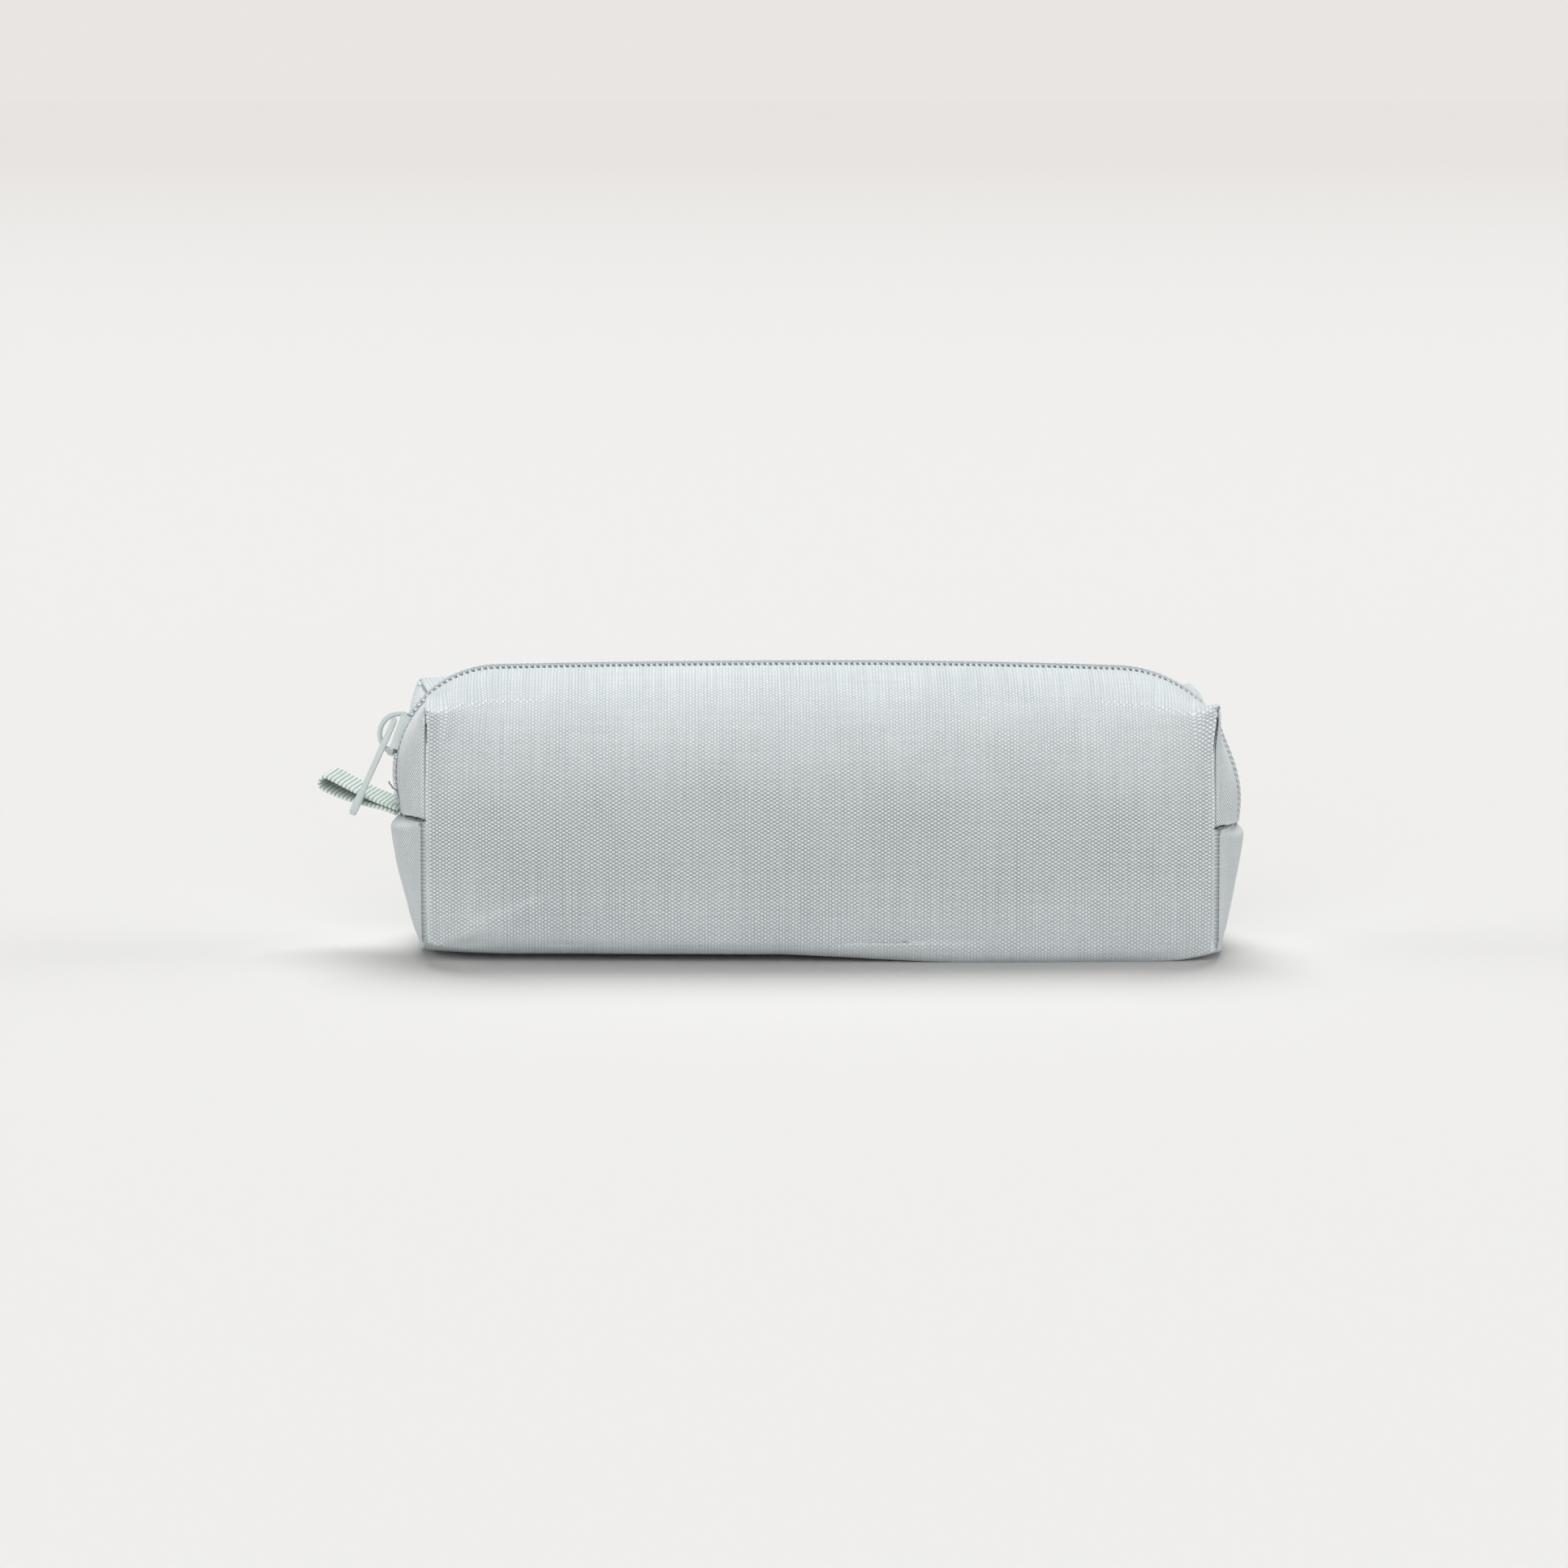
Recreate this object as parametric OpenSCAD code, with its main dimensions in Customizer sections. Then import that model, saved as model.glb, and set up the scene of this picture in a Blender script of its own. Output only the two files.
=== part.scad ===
// Boxed canvas pen pouch: one wrap of canvas with a coil zip over its top and down both ends.
// Origin at the middle of the base, +X along the pouch, +Y to the back, +Z up.

/* [Body] */
// Length between the corner seams of the two ends
body_l = 195; // [170:1:220]
// Depth between the front and back corner seams
body_w = 62; // [54:1:72]
// Height of the zip tape's outer face at the crest
crest_h = 69.9; // [62:0.5:80]
// How far the front and back faces swell past the corner seams
belly = 1.4; // [0:0.1:3]
// How far the tops of the left corner seams lie under the crest
left_drop = 6.1; // [4:0.1:9]
// How far the tops of the right corner seams lie under the crest
right_drop = 6.9; // [4:0.1:10]
// How far the feet of the left corner seams stand off the table
left_lift = 5.2; // [3:0.2:7]
// How far the feet of the right corner seams stand off the table
right_lift = 3.2; // [2:0.2:6]
// Radius of the fold between the front face and the base, at the right
base_r = 4.5; // [3:0.5:9]
// What that fold's radius gains towards the left end, where the base is slack
base_slack = 4; // [0:0.5:5]
// How far that fold stands off the table in the left half
base_lift = 1.9; // [0:0.1:3]
// Thickness of the coated canvas
canvas_t = 1; // [0.6:0.1:1.4]
// Thickness of the lining cloth
lining_t = 0.4; // [0.3:0.1:0.7]

/* [Ends] */
// How far the zip bows out past the corner seams
end_bow = 6.8; // [4:0.2:9]
// Bend radius of the zip over the left shoulder
left_r = 24.5; // [21:0.5:28]
// Bend radius of the zip over the right shoulder
right_r = 30.2; // [26:0.5:33]
// How far the crown falls before the left shoulder
left_fall = 0.8; // [0.6:0.1:2]
// How far the crown falls before the right shoulder
right_fall = 1.4; // [0.8:0.1:2.4]
// How far the left end of the base bows out past its corners
left_base_bow = 1.5; // [0:0.1:3]
// How far the right end of the base bows out past its corners
right_base_bow = 3; // [0:0.1:4]
// Angle through which the zip turns in under the widest point of each end
zip_tuck = 7; // [4:0.5:9]
// Height of the left end's cross seam where it passes the zip
left_seam_h = 33.5; // [29:0.5:35]
// Height of the right end's cross seam where it passes the zip
right_seam_h = 31; // [28:0.5:33]
// How much higher both cross seams meet the corner seams
seam_rise = 2.2; // [0:0.1:3]
// How far the folded top of each lower end panel stands proud of the zip tape
lip_reach = 3.8; // [2.8:0.1:5]

/* [Zip] */
// Half of the slot between the two folded canvas edges
slot_half = 5; // [4.9:0.1:6]
// Thickness of the woven zip tape
tape_t = 0.5; // [0.4:0.05:0.6]
// Length of one turn of the coil along the zip
coil_pitch = 1.45; // [1.3:0.05:1.8]
// Height of the coil over its tape
coil_h = 2; // [1.7:0.1:2.1]
// Reach of each coil from the middle of the zip
coil_half = 2.5; // [2.2:0.1:2.6]
// How far the coil heads cross the middle of the zip
coil_mesh = 0.45; // [0.3:0.05:0.6]

/* [Slider] */
// Angle of the slider above the middle of the left shoulder's bend
slider_at = 20; // [16:1:24]
// Length of the slider
slider_l = 11; // [10:0.5:12]
// Width across the slider's shoulders
slider_w = 8.9; // [8.7:0.1:9.2]
// Width of the slider's tail
slider_tail_w = 6.9; // [6.7:0.1:7.6]
// Thickness of the slider's outer plate at its middle
plate_t = 0.9; // [0.7:0.1:1.2]
// Diameter of the bail's wire
bail_d = 1.3; // [1.1:0.1:1.5]
// Height of the bail over the outer plate
bail_h = 4.4; // [4.2:0.1:5]

/* [Pull] */
// Length of the pull from its bar to its tip
pull_l = 25.5; // [22:0.5:28]
// Width of the pull's blade
pull_w = 4.8; // [4:0.1:5]
// Width of the pull's eye
eye_w = 6.6; // [6.4:0.1:7.2]
// Thickness of the pull
pull_t = 1.4; // [1.2:0.1:1.5]
// Sideways lean of the resting pull
pull_lean = 18; // [16:0.5:20]
// Outward lean of the resting pull from the outer plate
pull_rise = 4.3; // [3.5:0.1:6]

/* [Loop] */
// Width of the ribbed webbing
webbing_w = 12; // [10:0.5:13]
// Thickness of the webbing
webbing_t = 1.1; // [0.8:0.1:1.2]
// How far the folded loop stands out of the end seam
loop_l = 18.5; // [15:0.5:22]
// Free height inside the loop at its widest
loop_gap = 1.4; // [1:0.1:1.8]
// Upward tilt of the loop
loop_tilt = 19; // [14:1:22]

/* [Bindings] */
// Width of the folded binding tape that covers each seam inside
binding_w = 6; // [5:0.5:7]
// Thickness of a folded binding with the seam allowance in it
binding_t = 2.2; // [1.8:0.1:2.4]

/* [Hidden] */

canvas_colour = "#cdd5d8";
webbing_colour = "#d3dfdc";
metal_colour = "#c9d2d2";
lining_colour = "#c6cbcb";

// Counts of the cloth's grid: columns of a top strip, rows of the upper and lower ends
top_cols = 4;
upper_rows = 6;
lower_rows = 4;
side_cols = top_cols + upper_rows;
half_cols = side_cols + lower_rows + top_cols + 1;
// Where the cross-sections of the cloth stand, from the middle to an end
station_shares = [0, 0.3, 0.58, 0.76, 0.84, 0.89, 0.93, 0.965, 1];
stations = len(station_shares) - 1;

// Clearances between the layers, all inwards from the canvas
seat_gap = 0.05;
layer_gap = 0.1;
lining_gap = 0.16;
tape_out = canvas_t + seat_gap;
tape_in = tape_out + tape_t;
lining_out = tape_in + lining_gap;
lining_in = lining_out + lining_t;

// Shares that shape the cloth
round_share = 0.88;
stiff_share = 0.75;
bow_power = 1.6;
end_slope_power = 1.4;
base_bow_start_share = 0.84;
strip_power = 0.75;
lift_start_share = 0.35;
lift_run_share = 0.45;
flat_share = 0.25;
lift_power = 1.5;
centre_lift_share = 0.17;
slack_start_share = 0.15;

half_l = body_l / 2;
half_w = body_w / 2;
left_x = half_l + end_bow - left_r;
right_x = half_l + end_bow - right_r;
left_z = crest_h - left_r - left_fall;
right_z = crest_h - right_r - right_fall;
left_angle = 2 * atan(left_fall / left_x);
right_angle = 2 * atan(right_fall / right_x);
left_crown_r = left_r + left_x / sin(left_angle);
right_crown_r = right_r + right_x / sin(right_angle);
turn = 180 / PI;

// Angle through which the zip turns in at each end, less where its seam lies too high for all of it
left_tuck = min(zip_tuck, asin(max(-1, min(1, (left_z - left_seam_h) / left_r))));
right_tuck = min(zip_tuck, asin(max(-1, min(1, (right_z - right_seam_h) / right_r))));

// Runs of the zip, from the left end seam over the top to the right one
left_tail = max(0, (left_z - left_r * sin(left_tuck) - left_seam_h) / cos(left_tuck));
right_tail = max(0, (right_z - right_r * sin(right_tuck) - right_seam_h) / cos(right_tuck));
left_arc = left_r * (90 + left_tuck - left_angle) / turn;
right_arc = right_r * (90 + right_tuck - right_angle) / turn;
left_crown = left_crown_r * left_angle / turn;
right_crown = right_crown_r * right_angle / turn;
run_1 = left_tail;
run_2 = run_1 + left_arc;
run_3 = run_2 + left_crown;
run_4 = run_3 + right_crown;
run_5 = run_4 + right_arc;
zip_l = run_5 + right_tail;

// Direction that the zip faces at a distance s along it
function facing(s) =
    s < run_1 ? 180 + left_tuck :
    s < run_2 ? 180 + left_tuck - (s - run_1) / left_r * turn :
    s < run_3 ? 90 + left_angle - (s - run_2) / left_crown_r * turn :
    s < run_4 ? 90 - (s - run_3) / right_crown_r * turn :
    s < run_5 ? 90 - right_angle - (s - run_4) / right_r * turn :
    -right_tuck;

function spoke(r, a) = [r * cos(a), r * sin(a)];

// Point in the XZ plane at s along the zip, raised by off from the tape's outer face
function zip_at(s, off) =
    let (a = facing(s))
    s < run_1 ? [-left_x, left_z] + spoke(left_r + off, a) + (s - run_1) * [sin(a), -cos(a)] :
    s < run_2 ? [-left_x, left_z] + spoke(left_r + off, a) :
    s < run_3 ? [0, crest_h - left_crown_r] + spoke(left_crown_r + off, a) :
    s < run_4 ? [0, crest_h - right_crown_r] + spoke(right_crown_r + off, a) :
    s < run_5 ? [right_x, right_z] + spoke(right_r + off, a) :
    [right_x, right_z] + spoke(right_r + off, a) + (s - run_5) * [sin(a), -cos(a)];

function under(r, x) = sqrt(max(0, r * r - x * x));

// Height of the zip's line at x, raised by off from the tape's outer face
function crown_z(x, off) =
    x < -(left_crown_r + off) * sin(left_angle) ? left_z + under(left_r + off, x + left_x) :
    x < 0 ? crest_h - left_crown_r + under(left_crown_r + off, x) :
    x < (right_crown_r + off) * sin(right_angle) ? crest_h - right_crown_r + under(right_crown_r + off, x) :
    right_z + under(right_r + off, x - right_x);

function mix(a, b, share) = a + (b - a) * share;

// How rounded a cross-section is: 1 along the middle, 0 at the corner seams
function roundness(u) =
    u <= stiff_share ? 1 :
    max(0, 1 - pow((u - stiff_share) / (1 - stiff_share), 2));

// How far the foot of a corner seam stands off the table, at the end that x is on
function lift_at(x) = x < 0 ? left_lift : right_lift;

// The same for the tops of the corner seams under the crest, and for the cross seam's height at the zip
function drop_at(x) = x < 0 ? left_drop : right_drop;
function seam_at(x) = x < 0 ? left_seam_h : right_seam_h;

// Height of the row of the cloth that meets both cross seams at their corners
function mid_at(x) = mix(left_seam_h, right_seam_h, (x / half_l + 1) / 2) + seam_rise;

// How far the fold under the front and back faces stands off the table
function fold_lift(x) = base_lift * max(0, min(1, (lift_start_share - x / half_l) / lift_run_share));

// How far the base reaches out past its corners at each end
function bow_at(x) = x < 0 ? left_base_bow : right_base_bow;

function fold_r(x) = base_r + base_slack * max(0, min(1, -x / half_l - slack_start_share));

// Column j of a cross-section at the corner seams, with depth d into the cloth
function sharp_point(j, x, d) =
    let (yc = half_w - d, top = crest_h - drop_at(x) - 2 * d, low = lift_at(x) + 2 * d, mid = mid_at(x) - d)
    j <= top_cols ?
        [mix(slot_half, yc, j / top_cols), mix(crown_z(x, canvas_t - d), top, pow(j / top_cols, strip_power))] :
    j <= side_cols ? [yc, mix(top, mid, (j - top_cols) / upper_rows)] :
    j <= side_cols + lower_rows ? [yc, mix(mid, low, (j - side_cols) / lower_rows)] :
    let (k = j - side_cols - lower_rows, y = k > top_cols ? 0 : mix(yc, slot_half, k / top_cols))
    [y, mix(lift_at(x) * centre_lift_share + d, low, pow(y / yc, 2))];

// Column j of a rounded cross-section
function round_point(j, x, d) =
    let (u = abs(x) / half_l, yf = half_w - d + belly * (1 - u * u), mid = mid_at(x) - d, r = fold_r(x))
    let (foot = fold_lift(x))
    j <= side_cols ?
        let (a = 90 * j / side_cols)
        [mix(slot_half, yf, pow(sin(a), round_share)),
            mix(mid, crown_z(x, canvas_t - d), pow(cos(a), round_share))] :
    let (k = j - side_cols)
    k <= 2 ? [yf, mix(mid, foot + r + d, k / 2)] :
    k <= lower_rows + 1 ?
        let (a = 90 * (k - 2) / (lower_rows - 1))
        [yf - r + r * cos(a), foot + d + r - r * sin(a)] :
    let (share = (half_cols - j) / (half_cols - side_cols - lower_rows - 1))
    [(yf - r) * share, d + foot * pow(max(0, (share - flat_share) / (1 - flat_share)), lift_power)];

// Point of the canvas tube: column j from the slot (0) to the middle of the base, side -1 front, 1 back
function tube_point(x, j, side, d) =
    let (u = abs(x) / (half_l - d), w = roundness(u), p = mix(sharp_point(j, x, d), round_point(j, x, d), w))
    let (near = max(0, (u - base_bow_start_share) / (1 - base_bow_start_share)))
    let (out = j > side_cols + lower_rows ? sign(x) * bow_at(x) * near * (1 - pow(p[0] / (half_w - d), 2)) : 0)
    [x + out, side * p[0], p[1]];

// Where along the zip the end panels start, measured from the end seam
function end_run(end, d) =
    let (r = (end < 0 ? left_r : right_r) + canvas_t - d)
    let (cx = end < 0 ? left_x : right_x)
    let (a = acos(min(1, (half_l - d - cx) / r)))
    (end < 0 ? left_tail + left_r * (left_tuck + a) / turn : right_tail + right_r * (right_tuck + a) / turn);

// Point of the zip's line on row i of an end, counted from the top of the end to its seam
function end_line(end, i, d) =
    let (s = mix(end_run(end, d), -d, i / upper_rows))
    zip_at(end < 0 ? s : zip_l - s, canvas_t - d);

// Point of the end's upper strip, column j from the slot to the corner seam
function strip_point(end, i, j, side, d) =
    let (xs = end * (half_l - d))
    i == 0 ? tube_point(xs, j, side, d) :
    j == top_cols ? tube_point(xs, top_cols + i, side, d) :
    let (e = end_line(end, i, d), s = tube_point(xs, top_cols + i, side, d), share = j / top_cols)
    let (rise = pow(share, mix(strip_power, 1, i / upper_rows)))
    [mix(xs, e[0], 1 - pow(share, bow_power)), side * mix(slot_half, half_w - d, share), mix(e[1], s[2], rise)];

// Point of the end's lower panel: row i from its folded lip to the base, column k across from the front
function panel_point(end, i, k, d) =
    let (last = 2 * (top_cols + 1), side = k <= top_cols + 1 ? -1 : 1, n = min(k, last - k))
    let (xs = end * (half_l - d), j = side_cols + lower_rows + n)
    i == lower_rows ? tube_point(xs, j, side, d) :
    n == 0 ? tube_point(xs, side_cols + i, side, d) :
    let (y = abs(tube_point(xs, j, side, d)[1]), s = tube_point(xs, side_cols + i, side, d)[2])
    let (bow = 1 - pow(y / (half_w - d), bow_power), t = i / lower_rows)
    let (top_reach = end_bow + lip_reach - (1 - 1 / cos(zip_tuck)), drop = pow(sin(90 * t), end_slope_power))
    let (reach = mix(top_reach, bow_at(end), drop))
    let (low = lift_at(end) * centre_lift_share + d)
    [end * (half_l - d + reach * bow), side * y, mix(s, mix(seam_at(end) - d, low, sin(90 * t)), bow)];

// Triangles of a grid of points, wound one way or the other, without the empty ones.
// Each cell is cut along the shorter diagonal of its cell in the like grid, which for every layer of
// cloth is the one at the canvas's outer face, so that layers over each other are cut alike.
function grid_triangles(g, flip, like) = [
    for (i = [0:len(g) - 2], j = [0:len(g[0]) - 2])
    let (a = g[i][j], b = g[i + 1][j], c = g[i + 1][j + 1], e = g[i][j + 1])
    let (fall = norm(like[i][j] - like[i + 1][j + 1]), climb = norm(like[i + 1][j] - like[i][j + 1]))
    for (t = fall < climb ? [[a, b, c], [a, c, e]] : [[a, b, e], [b, c, e]])
    if (t[0] != t[1] && t[1] != t[2] && t[2] != t[0]) flip ? [t[0], t[2], t[1]] : t
];

module solid_of(triangles) {
    polyhedron(
        points = [for (t = triangles, p = t) p],
        faces = [for (k = [0:len(triangles) - 1]) [3 * k, 3 * k + 1, 3 * k + 2]]
    );
}

// X of cross-section i, counted to each side of the middle
function station_x(i, d) = sign(i) * (half_l - d) * station_shares[abs(i)];

// Grids of the cloth at depth d: the tube from end to end, an upper strip, and an end from its seam down
function tube_grid(n, d) = [for (i = [-n:n]) concat(
    [for (j = [0:half_cols]) tube_point(station_x(i, d), j, -1, d)],
    [for (j = [half_cols - 1:-1:0]) tube_point(station_x(i, d), j, 1, d)]
)];
function strip_grid(end, side, d) =
    [for (i = [0:upper_rows]) [for (j = [0:top_cols]) strip_point(end, i, j, side, d)]];
function panel_grid(end, d) = concat([seam_row(end, d)],
    [for (i = [0:lower_rows]) [for (k = [0:2 * top_cols + 2]) panel_point(end, i, k, d)]]);

// One skin of the cloth shell at depth d
function skin(n, d, flip) = concat(
    grid_triangles(tube_grid(n, d), flip, tube_grid(n, 0)),
    [for (end = [-1, 1], side = [-1, 1])
        each grid_triangles(strip_grid(end, side, d), flip != (end == side), strip_grid(end, side, 0))],
    [for (end = [-1, 1]) each grid_triangles(panel_grid(end, d), flip != (end > 0), panel_grid(end, 0))]
);

// Inner edge of an end's folded lip, across from the front to the back, closed under the zip
function seam_row(end, d) = concat(
    [for (j = [top_cols:-1:0]) strip_point(end, upper_rows, j, -1, d)],
    [seam_middle(end, d)],
    [for (j = [0:top_cols]) strip_point(end, upper_rows, j, 1, d)]
);
function seam_middle(end, d) = let (e = end_line(end, upper_rows, d)) [e[0], 0, e[1]];

// Edge of the slot at depth d, all the way round
function slot_edge(n, d) = concat(
    [for (i = [-n:n]) tube_point(station_x(i, d), 0, -1, d)],
    [for (i = [1:upper_rows]) strip_point(1, i, 0, -1, d)],
    [seam_middle(1, d)],
    [for (i = [upper_rows:-1:1]) strip_point(1, i, 0, 1, d)],
    [for (i = [n:-1:-n]) tube_point(station_x(i, d), 0, 1, d)],
    [for (i = [1:upper_rows]) strip_point(-1, i, 0, 1, d)],
    [seam_middle(-1, d)],
    [for (i = [upper_rows:-1:1]) strip_point(-1, i, 0, -1, d)],
    [tube_point(station_x(-n, d), 0, -1, d)]
);

module cloth_shell(n, d_out, d_in) {
    out = slot_edge(n, d_out);
    in = slot_edge(n, d_in);
    rim = [for (k = [0:len(out) - 1]) [out[k], in[k]]];
    solid_of(concat(skin(n, d_out, false), skin(n, d_in, true), grid_triangles(rim, true, rim)));
}

module outer_wrap() {
    color(canvas_colour) cloth_shell(stations, 0, canvas_t);
}

module lining() {
    color(lining_colour) cloth_shell(stations, lining_out, lining_in);
}

// Rows of a tape at depth d, from the left end seam to the right one
tape_hold = 0.75;
tape_inner = coil_half - tape_hold;
function tape_rows(side, d) = let (n = stations) concat(
    [for (i = [upper_rows:-1:1]) tape_row([for (j = [0:2]) strip_point(-1, i, j, side, d)], side)],
    [for (i = [-n:n]) tape_row([for (j = [0:2]) tube_point(station_x(i, d), j, side, d)], side)],
    [for (i = [1:upper_rows]) tape_row([for (j = [0:2]) strip_point(1, i, j, side, d)], side)]
);
function tape_row(p, side) = concat([[p[0][0], side * tape_inner, p[0][2]]], p);

// A closed bar through rows of equal-length rings
module bar(rings, flip, like) {
    last = len(rings) - 1;
    n = len(rings[0]);
    caps = [for (k = [1:n - 2]) each [
        flip ? [rings[0][0], rings[0][k + 1], rings[0][k]] : [rings[0][0], rings[0][k], rings[0][k + 1]],
        flip ? [rings[last][0], rings[last][k], rings[last][k + 1]] :
            [rings[last][0], rings[last][k + 1], rings[last][k]]
    ]];
    sides = grid_triangles([for (r = rings) concat(r, [r[0]])], flip, [for (r = like) concat(r, [r[0]])]);
    solid_of(concat(sides, caps));
}

function tape_rings(out, in) = [for (k = [0:len(out) - 1]) concat(out[k], [for (j = [3:-1:0]) in[k][j]])];

module zip_tape(side) {
    color(canvas_colour) bar(
        tape_rings(tape_rows(side, tape_out), tape_rows(side, tape_in)),
        side > 0,
        tape_rings(tape_rows(side, 0), tape_rows(side, 0))
    );
}

module front_zip_tape() {
    zip_tape(-1);
}

module back_zip_tape() {
    zip_tape(1);
}

// How far each coil stands aside at s: meshed above the slider, parted by its post and below it
post_half = 0.7;
coil_clear = 0.16;
post_play = 0.06;
coil_part = post_half + post_play + coil_mesh;
slider_s = run_1 + left_r * (slider_at + left_tuck) / turn;
part_from = slider_s + slider_l * 0.08;
part_full = slider_s - slider_l * 0.2;
function ease(x) = x <= 0 ? 0 : x >= 1 ? 1 : x * x * (3 - 2 * x);
function parting(s) =
    coil_part * ease((part_from - s) / (part_from - part_full)) * mix(0.35, 1, ease(s / run_1));

coil_end_gap = coil_h * sin(zip_tuck) + layer_gap;
coil_turns = floor((zip_l - 2 * coil_end_gap) / coil_pitch);
coil_start = (zip_l - coil_turns * coil_pitch) / 2;
valley_share = 0.74;
head_share = 0.93;
side_share = 0.86;

// Ring k of a coil: even rings are heads on the front half and hollows on the back one
function coil_ring(k, side) =
    let (s = coil_start + k * coil_pitch / 2, crest = (k % 2 == 0) == (side < 0))
    let (h = coil_h * (crest ? 1 : valley_share), reach = (k % 2 == 0 ? coil_mesh : -coil_mesh))
    let (aside = side * parting(s), inner = reach + side * coil_clear / 2 + aside)
    let (outer = side * coil_half * (crest ? 1 : side_share) + aside, a = zip_at(s, 0), b = zip_at(s, h), c = zip_at(s, h * head_share))
    [[a[0], outer, a[1]], [c[0], outer, c[1]], [b[0], mix(outer, inner, 0.5), b[1]],
        [c[0], inner, c[1]], [a[0], inner, a[1]]];

module coil(side) {
    rings = [for (k = [0:2 * coil_turns]) coil_ring(k, side)];
    color(canvas_colour) bar(rings, side < 0, rings);
}

module front_coil() {
    coil(-1);
}

module back_coil() {
    coil(1);
}

// The slider is drawn at the top of the left bend, with its nose to -X, and then turned to its place
channel_gap = 0.35;
channel_in = left_r - tape_t - seat_gap - channel_gap;
channel_out = left_r + coil_h + channel_gap;
flange_low = left_r + channel_gap;
plate_top = channel_out + plate_t;
inner_plate_t = 0.7;
inner_low = under(channel_in, slider_l / 2) - inner_plate_t;
flange_t = 0.6;
nose_w = slider_w * 0.5;
cut_over = 1;
slider_fn = 96;

module at_slider() {
    translate([-left_x, 0, left_z]) rotate([0, slider_at - 90, 0]) children();
}

module ring_y(r_in, r_out) {
    rotate([90, 0, 0]) difference() {
        cylinder(r = r_out, h = 2 * slider_w, center = true, $fn = slider_fn);
        cylinder(r = r_in, h = 3 * slider_w, center = true, $fn = slider_fn);
    }
}

// Shield outline of the slider, drawn in by inset: narrow tail at +X, shoulders, blunt nose at -X
module shield(inset, over) {
    tail = slider_tail_w / 2 - inset;
    wide = slider_w / 2 - inset;
    nose = nose_w / 2 - inset;
    polygon([
        [slider_l / 2 + over, -tail * 0.9], [slider_l / 2 - tail * 0.2, -tail],
        [slider_l * 0.05, -tail], [-slider_l * 0.18, -wide], [-slider_l * 0.34, -wide],
        [-slider_l * 0.46, -nose * 1.3], [-slider_l / 2 - over, -nose],
        [-slider_l / 2 - over, nose], [-slider_l * 0.46, nose * 1.3],
        [-slider_l * 0.34, wide], [-slider_l * 0.18, wide], [slider_l * 0.05, tail],
        [slider_l / 2 - tail * 0.2, tail], [slider_l / 2 + over, tail * 0.9]
    ]);
}

// Outline of the wedge-shaped post that parts the coils
module post_outline() {
    polygon([
        [-slider_l * 0.47, -post_half * 0.8], [-slider_l * 0.47, post_half * 0.8],
        [-slider_l * 0.3, post_half], [-slider_l * 0.14, post_half * 0.6], [-slider_l * 0.06, 0],
        [-slider_l * 0.14, -post_half * 0.6], [-slider_l * 0.3, -post_half]
    ]);
}

bail_x = 0.2;
bail_span = slider_l * 0.9;
bail_rise = bail_h - bail_d / 2;
bail_r = (pow(bail_span / 2, 2) + pow(bail_rise, 2)) / (2 * bail_rise);
bail_z = plate_top + bail_rise - bail_r;
bail_sink = 8;
bail_sweep = 2 * asin(min(1, (bail_span / 2) / bail_r)) + 2 * bail_sink;
rest_ridge_h = 0.6;
rest_ridge_w = 1;

module bail() {
    translate([bail_x, 0, bail_z]) rotate([90, 0, 0])
        rotate([0, 0, 90 - bail_sweep / 2])
            rotate_extrude(angle = bail_sweep, $fn = slider_fn)
                translate([bail_r, 0]) circle(d = bail_d, $fn = 24);
}

module slider_body() {
    color(metal_colour) at_slider() {
        difference() {
            translate([0, 0, inner_low]) linear_extrude(plate_top - inner_low) shield(0, 0);
            intersection() {
                ring_y(channel_in, channel_out);
                linear_extrude(2 * plate_top) difference() {
                    union() {
                        shield(flange_t, cut_over);
                        translate([-slider_l * 0.8, -slider_w]) square([slider_l * 0.5, 2 * slider_w]);
                    }
                    post_outline();
                }
            }
            difference() {
                ring_y(channel_in, flange_low);
                linear_extrude(2 * plate_top) post_outline();
            }
        }
        bail();
        translate([-slider_l * 0.41, 0, plate_top]) rotate([90, 0, 0])
            scale([rest_ridge_w / 2, rest_ridge_h, 1])
                cylinder(r = 1, h = nose_w, center = true, $fn = 32);
    }
}

// The pull hangs by its bar inside the bail, near the tail
bar_over = 0.1;
bar_rise = 0.45;
bar_d = pull_t + bar_over;
bar_z = plate_top + bar_d / 2 + bar_rise;
bar_gap = 0.3;
bar_room = bail_r - bail_d / 2 - bar_d / 2 - bar_gap;
bar_u = under(bar_room, bar_z - bail_z) + bail_x;
bar_side = 0.8;
bar_x = bar_u - bar_side * tan(pull_lean);
eye_short = 0.2;
eye_half = 2.25;
eye_l = bail_span + bail_d / 2 - eye_short;
eye_side = eye_w / 2 - eye_half;
tip_l = 6;
tip_extra = 0.25;
tip_inset = 0.2;
tip_rim = 0.6;
neck_l = 3;

// Places what is drawn about the bar, along -X from it, at its rest
module at_bar() {
    at_slider() translate([bar_x, bar_side, bar_z])
        rotate([0, 0, pull_lean]) rotate([0, pull_rise, 0]) children();
}

module pull_outline() {
    eye_end = eye_l + bar_d;
    polygon([
        [0, -eye_w / 2], [0, eye_w / 2], [-eye_end, eye_w / 2],
        [-eye_end - neck_l, pull_w / 2], [-pull_l + pull_w / 4, pull_w / 2],
        [-pull_l, pull_w / 4], [-pull_l, -pull_w / 4], [-pull_l + pull_w / 4, -pull_w / 2],
        [-eye_end - neck_l, -pull_w / 2], [-eye_end, -eye_w / 2]
    ]);
}

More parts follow.
